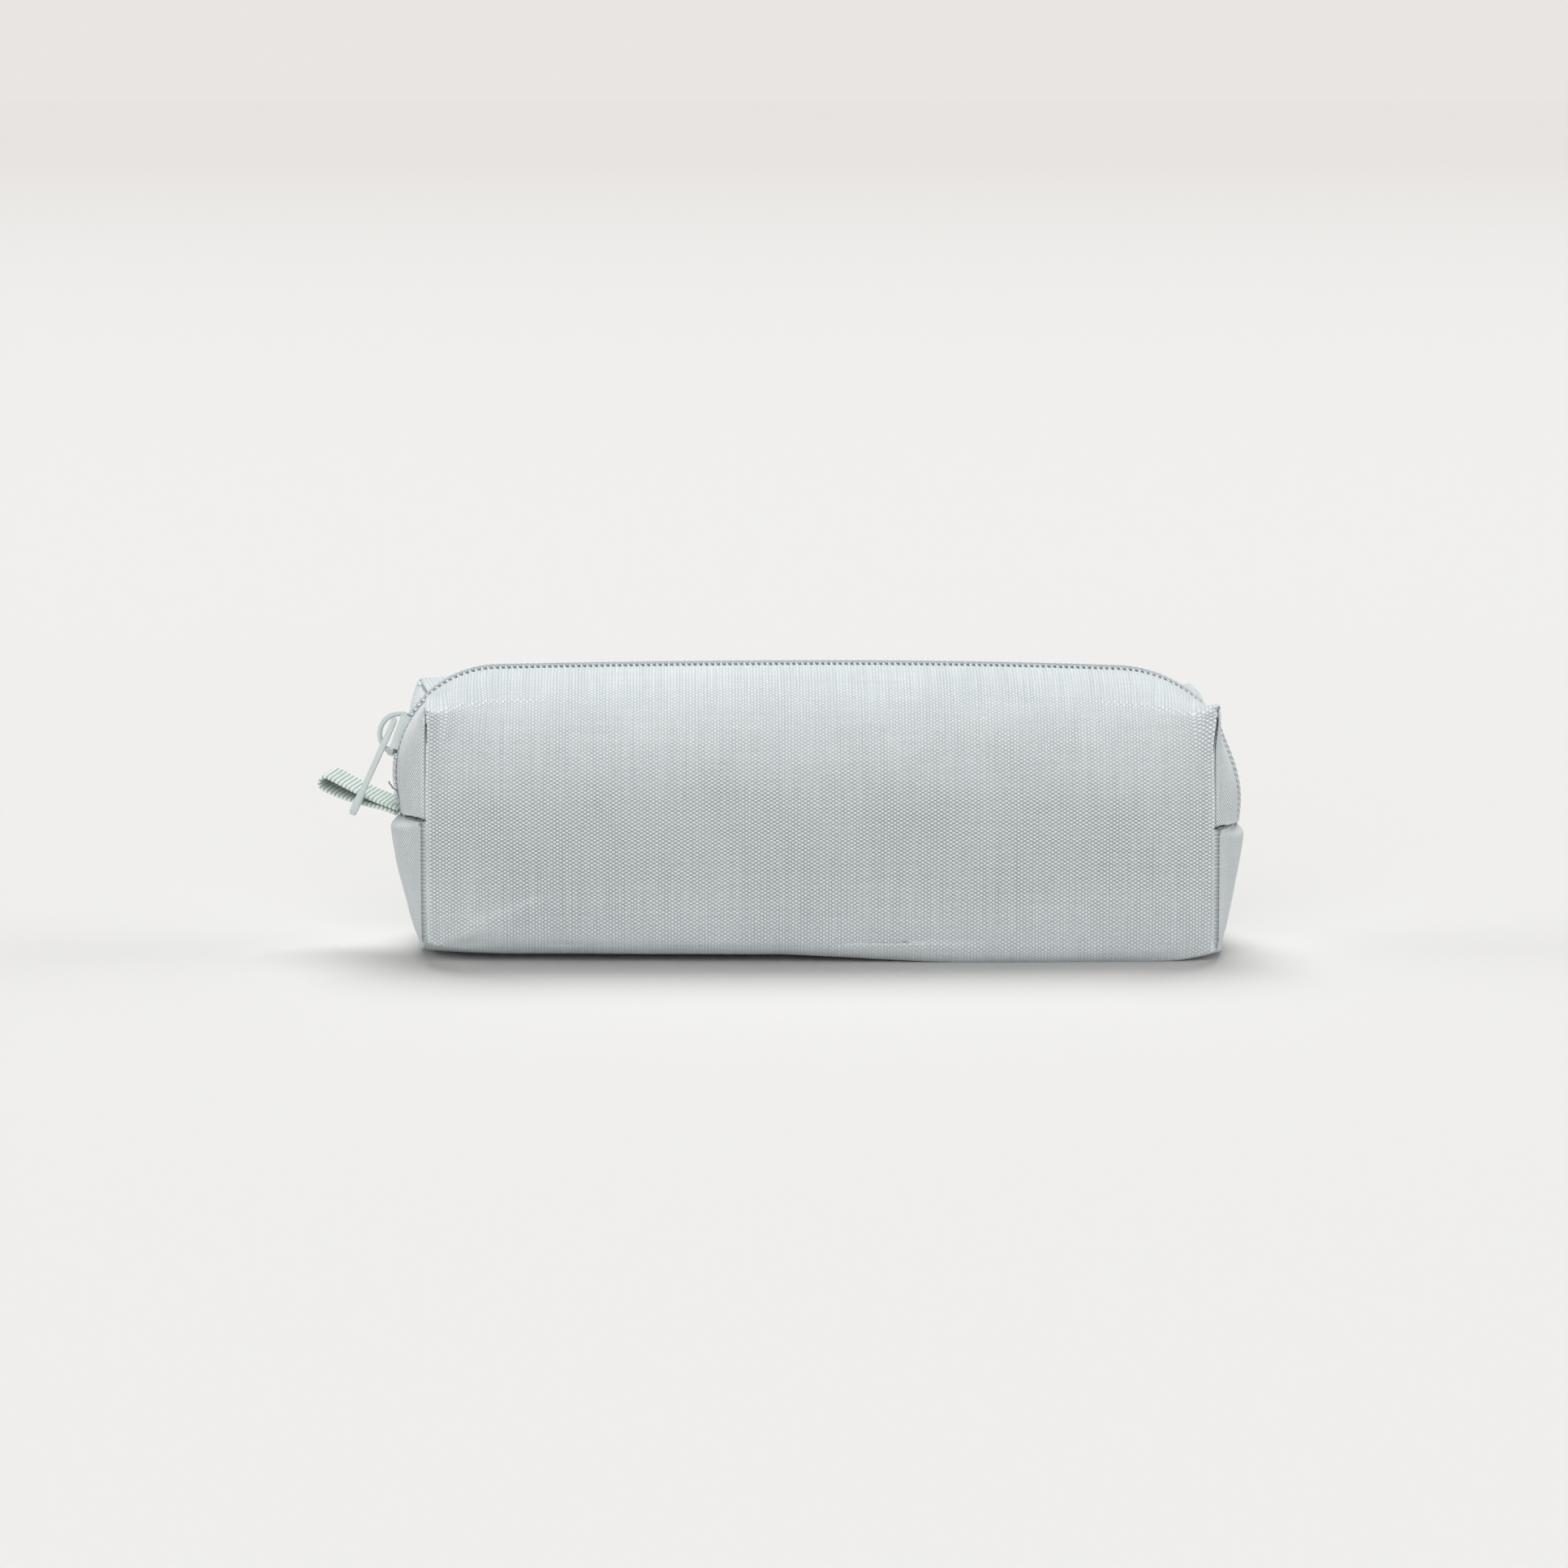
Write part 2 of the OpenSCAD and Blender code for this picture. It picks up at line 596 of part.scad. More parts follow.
module pull_tab() {
    color(metal_colour) at_bar() {
        difference() {
            translate([0, 0, -pull_t / 2]) linear_extrude(pull_t) pull_outline();
            translate([-eye_l / 2 - bar_d / 2, 0, 0])
                cube([eye_l, eye_w - 2 * eye_side, 2 * pull_t], center = true);
        }
        rotate([90, 0, 0]) cylinder(d = bar_d, h = eye_w, center = true, $fn = 32);
        translate([-pull_l + tip_l / 2, 0, 0]) difference() {
            cube([tip_l - pull_w / 4, pull_w - 2 * tip_inset, pull_t + 2 * tip_extra], center = true);
            cube([tip_l - pull_w / 4 - 2 * tip_rim, pull_w - 2 * tip_inset - 2 * tip_rim, 2 * pull_t], center = true);
        }
    }
}

// The loop is drawn along -X from its root and then tilted, turned and rolled to its place
loop_steps = 8;
loop_yaw = 13;
loop_roll = 8;
loop_clear = 1.8;
loop_cross = 6.5;
loop_sag = 0.4;
root_gap = 0.35;
root_r = (webbing_t + layer_gap) / cos(loop_tilt);
root_rise = webbing_w / 2 * sin(loop_roll);
root_x = zip_at(root_gap + 2 * root_r + root_rise, coil_h)[0] - root_gap - root_r;
root_z = left_seam_h + root_gap + root_r + root_rise;

// The loop is sewn in beside the hanging pull, which leans over to the front of it
bar_height = left_z + bar_x * cos(slider_at) + bar_z * sin(slider_at);
cross_height = root_z + loop_cross * tan(loop_tilt);
pull_side = bar_side - (bar_height - cross_height) * tan(pull_lean) / cos(slider_at + pull_rise);
loop_front = pull_side + pull_w / 2 / cos(pull_lean) + loop_clear - loop_cross * tan(loop_yaw);
loop_side = loop_front + webbing_w / 2 / cos(loop_yaw);
function loop_gap_at(t) = layer_gap + loop_gap * pow(sin(90 * t), 1.5);
function loop_mid(t) = loop_sag * sin(180 * t);
loop_bend_r = webbing_t + loop_gap_at(1) / 2;
loop_run = loop_l - loop_bend_r;
function loop_layer(off, out) = [
    for (i = [0:loop_steps])
    let (t = i / loop_steps)
    [-loop_run * t, -loop_mid(t) + off * (loop_gap_at(t) / 2 + (out ? webbing_t : 0))]
];
function loop_bend(r) = [for (a = [90:22.5:270]) [-loop_run + r * cos(a), r * sin(a)]];
function reversed(list) = [for (i = [len(list) - 1:-1:0]) list[i]];

// The folded strip, with its two layers run on past the root by root_over
root_over = webbing_w / 2;
module folded_strip() {
    rotate([90, 0, 0]) linear_extrude(webbing_w, center = true) difference() {
        polygon(concat(
            [[root_over, loop_layer(1, true)[0][1]]], loop_layer(1, true), loop_bend(loop_bend_r),
            reversed(loop_layer(-1, true)), [[root_over, loop_layer(-1, true)[0][1]]]
        ));
        polygon(concat(
            loop_layer(1, false), loop_bend(loop_bend_r - webbing_t), reversed(loop_layer(-1, false))
        ));
    }
}

// The root is cut along the seam and rounded about the line that the loop bends on
module webbing_loop() {
    color(webbing_colour) translate([root_x, loop_side, root_z]) rotate([loop_roll, 0, 0]) {
        difference() {
            rotate([0, loop_tilt, 0]) rotate([0, 0, -loop_yaw]) folded_strip();
            translate([0, -webbing_w, -webbing_w]) cube([2 * webbing_w, 2 * webbing_w, 2 * webbing_w]);
        }
        rotate([90, 0, 0]) cylinder(r = root_r, h = webbing_w, center = true, $fn = 48);
    }
}

// A folded binding hangs under the lining along each end seam
binding_out = 0.3;
module end_binding(end) {
    d = lining_in;
    cols = concat([for (j = [top_cols - 1:-1:0]) [j, -1]], [for (j = [0:top_cols - 1]) [j, 1]]);
    rings = [for (c = cols)
        let (p = strip_point(end, upper_rows, c[0], c[1], d))
        let (a = p[0] + end * (c[0] < top_cols - 1 ? binding_out : 0), b = p[0] - end * binding_w)
        let (top = p[2] - 2 * layer_gap, low = top - binding_t)
        [[a, p[1], top], [b, p[1], top], [b, p[1], low], [a, p[1], low]]
    ];
    color(lining_colour) bar(rings, end > 0, rings);
}

module left_end_binding() {
    end_binding(-1);
}

module right_end_binding() {
    end_binding(1);
}

// A folded binding stands in each corner, over the allowance of the corner seam
corner_start = 2.3;
corner_low_clear = 6;
corner_top_share = 0.5;
module corner_binding(end, side) {
    low = lift_at(end) + lining_in + corner_low_clear;
    high = mix(mid_at(end * half_l), crest_h - drop_at(end), corner_top_share);
    color(lining_colour)
        translate([end * (half_l - lining_in), side * (half_w - lining_in), low])
            rotate([0, 0, atan2(-side, -end)])
                translate([corner_start, -binding_t / 2, 0])
                    cube([binding_w, binding_t, high - low]);
}

module front_left_corner_binding() {
    corner_binding(-1, -1);
}

module back_left_corner_binding() {
    corner_binding(-1, 1);
}

module front_right_corner_binding() {
    corner_binding(1, -1);
}

module back_right_corner_binding() {
    corner_binding(1, 1);
}

outer_wrap();
lining();
front_zip_tape();
back_zip_tape();
front_coil();
back_coil();
slider_body();
pull_tab();
webbing_loop();
left_end_binding();
right_end_binding();
front_left_corner_binding();
back_left_corner_binding();
front_right_corner_binding();
back_right_corner_binding();
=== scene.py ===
import bpy
import bmesh
import math
import numpy as np
from mathutils import Matrix, Vector, noise


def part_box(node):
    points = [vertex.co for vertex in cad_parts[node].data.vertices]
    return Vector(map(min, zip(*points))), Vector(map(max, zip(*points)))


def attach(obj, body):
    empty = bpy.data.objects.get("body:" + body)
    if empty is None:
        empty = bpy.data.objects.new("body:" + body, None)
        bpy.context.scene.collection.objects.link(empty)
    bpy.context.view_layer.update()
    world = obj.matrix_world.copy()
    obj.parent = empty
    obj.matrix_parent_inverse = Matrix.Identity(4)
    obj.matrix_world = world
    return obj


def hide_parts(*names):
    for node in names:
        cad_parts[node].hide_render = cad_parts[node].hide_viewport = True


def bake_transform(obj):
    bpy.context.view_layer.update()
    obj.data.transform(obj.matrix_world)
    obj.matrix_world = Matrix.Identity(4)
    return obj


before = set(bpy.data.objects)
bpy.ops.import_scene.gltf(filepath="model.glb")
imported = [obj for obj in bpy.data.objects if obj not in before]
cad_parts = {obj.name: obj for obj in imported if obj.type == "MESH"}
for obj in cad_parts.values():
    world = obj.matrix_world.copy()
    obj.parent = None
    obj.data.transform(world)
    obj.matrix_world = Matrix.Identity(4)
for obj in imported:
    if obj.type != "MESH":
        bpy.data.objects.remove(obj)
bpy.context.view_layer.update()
MM = 0.001

# Sizes, in millimetres, as the CAD has them
body_l, body_w, crest_h, belly = 195, 62, 69.9, 1.4
left_drop, right_drop, left_lift, right_lift = 6.1, 6.9, 6.2, 3.2
base_r, base_slack, base_lift = 4.5, 4, 2.6
canvas_t, lining_t, tape_gap, lining_gap = 1, 0.4, 0.05, 0.16
end_bow, left_r, right_r, left_fall, right_fall = 6.8, 24.5, 30.2, 0.8, 1.4
left_base_bow, right_base_bow = 1.5, 3
zip_tuck, left_seam_h, right_seam_h, seam_rise, lip_reach = 7, 33.5, 31, 2.2, 3.8
slot_half, tape_t, coil_pitch, coil_h, coil_half, coil_mesh = 5, 0.5, 1.45, 2, 2.5, 0.45
slider_at, slider_l = 20, 11
webbing_w, webbing_t, loop_l, loop_gap, leg_gap = 12, 1.1, 18.5, 2.1, 0.1
loop_tilt, loop_yaw, loop_roll, loop_sag, loop_side, root_gap = 19, 13, 8, 0.4, 3.228, 0.35
binding_w, binding_t = 6, 2.2

# Shares and powers that shape the sections
end_slope_power, strip_power, bow_power, section_power = 1.4, 0.75, 1.6, 0.95
round_share, round_power, sag_share, foot_share, foot_power = 0.75, 3.5, 0.17, 0.25, 1.5
lift_from_share, lift_run_share, slack_from_share = 0.35, 0.45, 0.15
bow_from_share, bow_run_share = 0.84, 0.16

# How the sewn cloth settles, which the solids leave out
right_flat, flat_z, flat_reach, flat_run = 1.0, 50, 9, 4
lip_round_x, lip_round_z, lip_slack, lip_run, slack_share = 1.2, 2.4, 1.4, 4, 0.75
seam_tuck, seam_dip, shelf_rise, shelf_dip = 1.3, 0.25, 0.12, 0.35
skin_t, fold_t, turn_under, lining_slack = 0.55, 0.3, 5, 0.7
canvas_rounds, rear_rounds, lining_rounds, no_seam = 90, 150, 18, 99
front_ear, rear_ear, rear_reach, bend_reach, bend_cols, shoulder_cols = 3, 6, 6, 2.6, 0.25, 1.1
wrinkle_sizes = ((0.55, 26, 3.1), (0.22, 11, 8.4), (0.05, 4, 1.7))

# The sewn seams: a step is a height, a distance from the seam and a width
stitch, seam_band, free_run = 1.45, 6, 9
swell, dent, pinch, stitch_swell, stitch_pinch = (0.34, 0.6, 0.36), (0.16, 2.0, 0.9), (0.5, 0, 0.22), 0.08, 0.1
low_sink, high_sink, stitch_sink, sink_w, pocket, pocket_spread = 0.45, 0.95, 0.12, 0.3, (0.8, 2.6, 1.5), 0.25
thin_groove, wide_groove, low_share, bite_share, ridge, ridge_share = 0.14, 0.34, 0.75, 0.3, (0.6, 0.5), 0.3
diagonal, diagonal_w, diagonal_top, diagonal_z, diagonal_l, diagonal_fade = (0.42, -1.05), 2.2, 16, 4, 36, 14

# Where each change of shape starts and how far it runs, along x, y or z
seam_top, seam_foot, rear_seam_top, end_shoulder = (1.3, 1.0), (-0.6, 1.2), (5, 5), (66, 6)
lean_left, lean_right, lean_x, lean_y, lean_z = 3.6, 1.3, (72, 24), (4, 24), (40, 22)
rise_left, rise_right, rise_x_left, rise_x_right = 2.1, 1.7, (74, 16), (80, 14)
rise_y, rise_z = (9, 14), (44, 14)
ear_rise, ear_out, ear_x, ear_y, ear_z, ear_bulge = 1.2, 0.9, (90, 6), (17, 10), (52, 8), (60, 4.5)

# Starts of the cloth's pieces on the weave
back_u, end_u, strip_u, fold_v = 200, 300, 31, 400

# Columns and rows of the cloth's grids
top_cols, upper_rows, lower_rows, wall_cols, first_col = 4, 6, 4, 2, 0.075
side_cols = top_cols + upper_rows
low_cols = side_cols + lower_rows
half_cols = low_cols + top_cols + 1
panel_cols = 2 * (top_cols + 1)
shelf_shares = (0, 0.2, 0.45, 0.7, 0.9, 1, 1.12, 1.25, 1.4, 1.55, 1.7, 1.85, 2)

tape_out = canvas_t + tape_gap
tape_in = tape_out + tape_t
lining_out = tape_in + lining_gap
lining_in = lining_out + lining_t
half_l, half_w = body_l / 2, body_w / 2


def sind(a):
    return math.sin(math.radians(a))


def cosd(a):
    return math.cos(math.radians(a))


left_x, right_x = half_l + end_bow - left_r, half_l + end_bow - right_r
left_z, right_z = crest_h - left_r - left_fall, crest_h - right_r - right_fall
left_angle = 2 * math.degrees(math.atan(left_fall / left_x))
right_angle = 2 * math.degrees(math.atan(right_fall / right_x))
left_crown_r = left_r + left_x / sind(left_angle)
right_crown_r = right_r + right_x / sind(right_angle)
left_tail = (left_z - left_r * sind(zip_tuck) - left_seam_h) / cosd(zip_tuck)
right_tail = max(0, (right_z - right_r * sind(zip_tuck) - right_seam_h) / cosd(zip_tuck))
run_1 = left_tail
run_2 = run_1 + left_r * math.radians(90 + zip_tuck - left_angle)
run_3 = run_2 + left_crown_r * math.radians(left_angle)
run_4 = run_3 + right_crown_r * math.radians(right_angle)
run_5 = run_4 + right_r * math.radians(90 + zip_tuck - right_angle)
zip_l = run_5 + right_tail


def facing(s):
    """Angle that the zip's outer face looks to at s along it."""
    if s < run_1:
        return 180 + zip_tuck
    if s < run_2:
        return 180 + zip_tuck - math.degrees((s - run_1) / left_r)
    if s < run_3:
        return 90 + left_angle - math.degrees((s - run_2) / left_crown_r)
    if s < run_4:
        return 90 - math.degrees((s - run_3) / right_crown_r)
    if s < run_5:
        return 90 - right_angle - math.degrees((s - run_4) / right_r)
    return -zip_tuck


def ease(x):
    x = min(1, max(0, x))
    return x * x * (3 - 2 * x)


def ramp(v, start, run):
    """A smooth rise from 0 at start to 1 after run."""
    return ease((v - start) / run)


def bell(v, middle, width):
    return math.exp(-((v - middle) / width) ** 2)


def zip_path(s, off):
    """Point (x, z) at s along the zip's arcs, raised by off from the tape's outer face."""
    a = facing(s)
    c, n, left, right = cosd(a), sind(a), left_r + off, right_r + off
    if s < run_1:
        return -left_x + left * c + (s - run_1) * n, left_z + left * n - (s - run_1) * c
    if s < run_2:
        return -left_x + left * c, left_z + left * n
    if s < run_3:
        return (left_crown_r + off) * c, crest_h - left_crown_r + (left_crown_r + off) * n
    if s < run_4:
        return (right_crown_r + off) * c, crest_h - right_crown_r + (right_crown_r + off) * n
    if s < run_5:
        return right_x + right * c, right_z + right * n
    return right_x + right * c + (s - run_5) * n, right_z + right * n - (s - run_5) * c


def zip_at(s, off):
    """Point (x, z) of the settled zip, which has a flatter stretch at the right end."""
    x, z = zip_path(s, off)
    if s < run_4:
        return x, z
    return x - right_flat * bell(z, flat_z, flat_reach) * ramp(x, half_l, flat_run), z


def under(r, x):
    return math.sqrt(max(0, r * r - x * x))


def crown_z(x, off):
    if x < -(left_crown_r + off) * sind(left_angle):
        return left_z + under(left_r + off, x + left_x)
    if x < 0:
        return crest_h - left_crown_r + under(left_crown_r + off, x)
    if x < (right_crown_r + off) * sind(right_angle):
        return crest_h - right_crown_r + under(right_crown_r + off, x)
    return right_z + under(right_r + off, x - right_x)


def mix(a, b, t):
    return a + (b - a) * t


def roundness(u):
    """How round the section is at share u of the way to the end: 1 is round and 0 has sharp corners."""
    return 1 if u <= round_share else max(0, 1 - ((u - round_share) / (1 - round_share)) ** round_power)


def by_end(left, right):
    """A size that differs between the ends, as a function of x."""
    return lambda x: left if x < 0 else right


lift_at, drop_at = by_end(left_lift, right_lift), by_end(left_drop, right_drop)
seam_at, bow_at = by_end(left_seam_h, right_seam_h), by_end(left_base_bow, right_base_bow)


def mid_at(x):
    return mix(left_seam_h, right_seam_h, (x / half_l + 1) / 2) + seam_rise


def fold_lift(x):
    return base_lift * min(1, max(0, (lift_from_share - x / half_l) / lift_run_share))


def fold_r(x):
    return base_r + base_slack * min(1, max(0, -x / half_l - slack_from_share))


def sharp_point(j, x, d):
    """Section (y, z) with the sharp corners of the ends."""
    yc, top, low, mid = half_w - d, crest_h - drop_at(x) - 2 * d, lift_at(x) + 2 * d, mid_at(x) - d
    if j <= top_cols:
        t = j / top_cols
        return mix(slot_half, yc, t), mix(crown_z(x, canvas_t - d), top, t ** strip_power)
    if j <= side_cols:
        return yc, mix(top, mid, (j - top_cols) / upper_rows)
    if j <= low_cols:
        return yc, mix(mid, low, (j - side_cols) / lower_rows)
    k = j - low_cols
    y = mix(yc, slot_half, k / top_cols) if k <= top_cols else mix(slot_half, 0, k - top_cols)
    return y, mix(lift_at(x) * sag_share + d, low, (y / yc) ** 2)


def round_point(j, x, d):
    """Section (y, z) with the round shoulders and folds of the middle."""
    u = abs(x) / half_l
    yf, mid, r, foot = half_w - d + belly * (1 - u * u), mid_at(x) - d, fold_r(x), fold_lift(x)
    if j <= side_cols:
        a = 90 * j / side_cols
        y = mix(slot_half, yf, max(0, sind(a)) ** section_power)
        return y, mix(mid, crown_z(x, canvas_t - d), max(0, cosd(a)) ** section_power)
    k = j - side_cols
    if k <= wall_cols:
        return yf, mix(mid, foot + r + d, k / wall_cols)
    if k <= lower_rows + 1:
        a = 90 * (k - wall_cols) / (lower_rows - 1)
        return yf - r + r * cosd(a), foot + d + r - r * sind(a)
    share = (half_cols - j) / (half_cols - low_cols - 1)
    return (yf - r) * share, d + foot * max(0, (share - foot_share) / (1 - foot_share)) ** foot_power


def tube_point(x, j, side, d):
    """Point of the cloth tube: column j from the slot (0) to the middle of the base."""
    u = min(1, abs(x) / (half_l - d))
    w = roundness(u)
    p, q = sharp_point(j, x, d), round_point(j, x, d)
    y, z, out = mix(p[0], q[0], w), mix(p[1], q[1], w), 0
    if j > low_cols:
        near_end = max(0, (u - bow_from_share) / bow_run_share)
        out = math.copysign(bow_at(x), x) * near_end * (1 - (y / (half_w - d)) ** 2)
    return np.array((x + out, side * y, z))


def end_run(end, d):
    """Length of the zip from its end seam up to the height where the end's strip starts."""
    r, cx = (left_r, left_x) if end < 0 else (right_r, right_x)
    a = math.degrees(math.acos(min(1, (half_l - d - cx) / (r + canvas_t - d))))
    return (left_tail if end < 0 else right_tail) + r * math.radians(zip_tuck + a)


def end_line(end, i, d):
    """Point (x, z) at row i of the end's strip, at the edge of the slot."""
    s = mix(end_run(end, d), -d, i / upper_rows)
    return zip_at(s if end < 0 else zip_l - s, canvas_t - d)


def strip_point(end, i, j, side, d):
    """Point of the end's upper strip: row i down from the top, column j from the slot to the corner seam."""
    xs, t = end * (half_l - d), j / top_cols
    e, s = end_line(end, i, d), tube_point(xs, top_cols + i, side, d)
    rise = t ** mix(strip_power, 1, i / upper_rows)
    y = side * mix(slot_half, half_w - d, t)
    return np.array((mix(xs, e[0], 1 - t ** bow_power), y, mix(e[1], s[2], rise)))


def panel_column(k):
    """Side of the end's lower panel that column k is on, and its count from that side's corner seam."""
    return (-1 if k <= top_cols + 1 else 1), min(k, panel_cols - k)


def panel_point(end, i, k, d):
    """Point of the end's lower panel: row i down from its lip, column k across from the front to the back."""
    side, n = panel_column(k)
    xs, yc = end * (half_l - d), half_w - d
    y = mix(yc, slot_half, n / top_cols) if n <= top_cols else mix(slot_half, 0, n - top_cols)
    s = tube_point(xs, side_cols + i, side, d)[2]
    t, bow, sag = i / lower_rows, 1 - (y / yc) ** bow_power, 1 - (y / yc) ** 2
    lip = end_bow + lip_reach - (1 - 1 / cosd(zip_tuck))
    reach = mix(lip, bow_at(end), sind(90 * t) ** end_slope_power)
    z = mix(s, mix(seam_at(end) - d, lift_at(end) * sag_share + d, sind(90 * t)), mix(bow, sag, t))
    return np.array((end * (half_l - d + reach * mix(bow, sag, t)), side * y, z))


# Mesh helpers
def add_object(name, data):
    obj = bpy.data.objects.new(name, data)
    bpy.context.scene.collection.objects.link(obj)
    return obj


def link_mesh(name, points, faces, corner_uvs):
    """A smooth mesh from points in millimetres, in the row frame, with texture places in millimetres too."""
    mesh = bpy.data.meshes.new(name)
    mesh.from_pydata([tuple(float(v) * MM for v in p) for p in points], [], faces)
    mesh.uv_layers.new(name="cloth").data.foreach_set("uv", np.array(corner_uvs, np.float32).ravel())
    mesh.polygons.foreach_set("use_smooth", [True] * len(mesh.polygons))
    mesh.update()
    return add_object(name, mesh)


def make_object(name, points, faces, uvs):
    """A mesh whose points each have one texture place."""
    return link_mesh(name, points, faces, [uvs[i] for f in faces for i in f])


def sheet_faces(rows, cols, side):
    """Faces of an open sheet of rows, turned over where side is -1."""
    faces = []
    for a in range(rows - 1):
        for b in range(cols - 1):
            f = [a * cols + b, (a + 1) * cols + b, (a + 1) * cols + b + 1, a * cols + b + 1]
            faces.append(f if side > 0 else f[::-1])
    return faces


def ring_faces(rings, sides):
    """Faces of a closed tube of rings, with a cap at each end."""
    faces = []
    for a in range(rings - 1):
        for b in range(sides):
            c = (b + 1) % sides
            faces.append([a * sides + b, a * sides + c, (a + 1) * sides + c, (a + 1) * sides + b])
    faces.append(list(range(sides))[::-1])
    faces.append([(rings - 1) * sides + b for b in range(sides)])
    return faces


def turn_outward(obj):
    b = bmesh.new()
    b.from_mesh(obj.data)
    bmesh.ops.recalc_face_normals(b, faces=b.faces)
    b.to_mesh(obj.data)
    b.free()


class Cloth:
    """Grids of points that share their borders, welded into one skin."""

    weld_steps = 50

    def __init__(self):
        self.points, self.faces, self.marks, self.seen = [], [], [], {}

    def vertex(self, p, mark):
        key = tuple(round(v * self.weld_steps) for v in p)
        if key in self.seen:
            k = self.seen[key]
            for name, v in mark.items():
                old = self.marks[k].get(name, no_seam if name == "e" else 0)
                self.marks[k][name] = min(v, old) if name == "e" else max(v, old)
            return k
        self.seen[key] = len(self.points)
        self.points.append(np.array(p, float))
        self.marks.append(dict(mark))
        return self.seen[key]

    def grid(self, rows, flip, uv, mark):
        """rows is a list of rows of points; uv and mark are functions of the row and column."""
        ids = [[self.vertex(p, mark(a, b)) for b, p in enumerate(r)] for a, r in enumerate(rows)]
        for a in range(len(ids) - 1):
            for b in range(len(ids[0]) - 1):
                f, u = [], []
                for q in ((a, b), (a + 1, b), (a + 1, b + 1), (a, b + 1)):
                    k = ids[q[0]][q[1]]
                    if k not in f:
                        f.append(k)
                        u.append(uv(*q))
                if len(f) > 2:
                    self.faces.append((f[::-1], u[::-1]) if flip else (f, u))


def arc_lengths(rows, start=0):
    """Distance along each row of points, from column start."""
    out = []
    for r in rows:
        r = np.array(r)
        step = np.concatenate([[0], np.cumsum(np.linalg.norm(np.diff(r, axis=0), axis=1))])
        out.append(step - step[start])
    return out


def normals_of(points, faces):
    p = np.array(points)
    n = np.zeros_like(p)
    for f in faces:
        q = p[list(f)]
        c = np.zeros(3)
        for a in range(1, len(f) - 1):
            c += np.cross(q[a] - q[0], q[a + 1] - q[0])
        for k in f:
            n[k] += c
    return n / np.maximum(1e-12, np.linalg.norm(n, axis=1))[:, None]


def wave(x, y, z, scale, seed):
    return noise.noise(Vector((x / scale + seed, y / scale - seed * 0.7, z / scale + seed * 1.3)))


def samples(values, spans):
    """Sample places between the given values, spans of them in each piece."""
    out = [values[0]]
    for a, b, n in zip(values, values[1:], spans):
        out += [a + (b - a) * k / n for k in range(1, n + 1)]
    return out


def lip_point(end, i, k, d):
    """Point of the end's lower panel with the turned edge of its lip rounded."""
    p, top = panel_point(end, i, k, d), panel_point(end, 0, k, d)
    proud = min(1, abs(top[0] - end * (half_l - d)) / lip_run)
    q = min(1, max(0, (top[2] - p[2]) / lip_round_z))
    slack = lip_slack * max(0, 1 - i / lower_rows / slack_share)
    return p - np.array((end * proud * (slack + lip_round_x * (1 - math.sqrt(1 - (1 - q) ** 2))), 0, 0))


def seam_point(end, k, d):
    """Point of the cross seam at column k of the lower panel, where the upper strip ends."""
    side, n = panel_column(k)
    p = strip_point(end, upper_rows, max(0, top_cols - n), side, d)
    if n > top_cols:
        p[1] = side * mix(slot_half, 0, n - top_cols)
    return p


def shelf_rows(seam, lip, end):
    """Rows of the short shelf from the cross seam, down a tuck behind the lip, and out to the lip."""
    shelf = []
    for t in shelf_shares:
        row = []
        for p, q in zip(seam, lip):
            free = min(1, abs(q[0] - p[0]) / 0.8)
            inner = p - np.array((end * seam_tuck * free, 0, seam_dip * free))
            if t <= 1:
                rise = shelf_rise * free * math.sin(math.pi * t)
                row.append(mix(p, inner, t) + np.array((0, 0, rise)))
            else:
                dip = shelf_dip * free * math.sin(math.pi * (t - 1))
                row.append(mix(inner, q, t - 1) - np.array((0, 0, dip)))
        shelf.append(row)
    return shelf


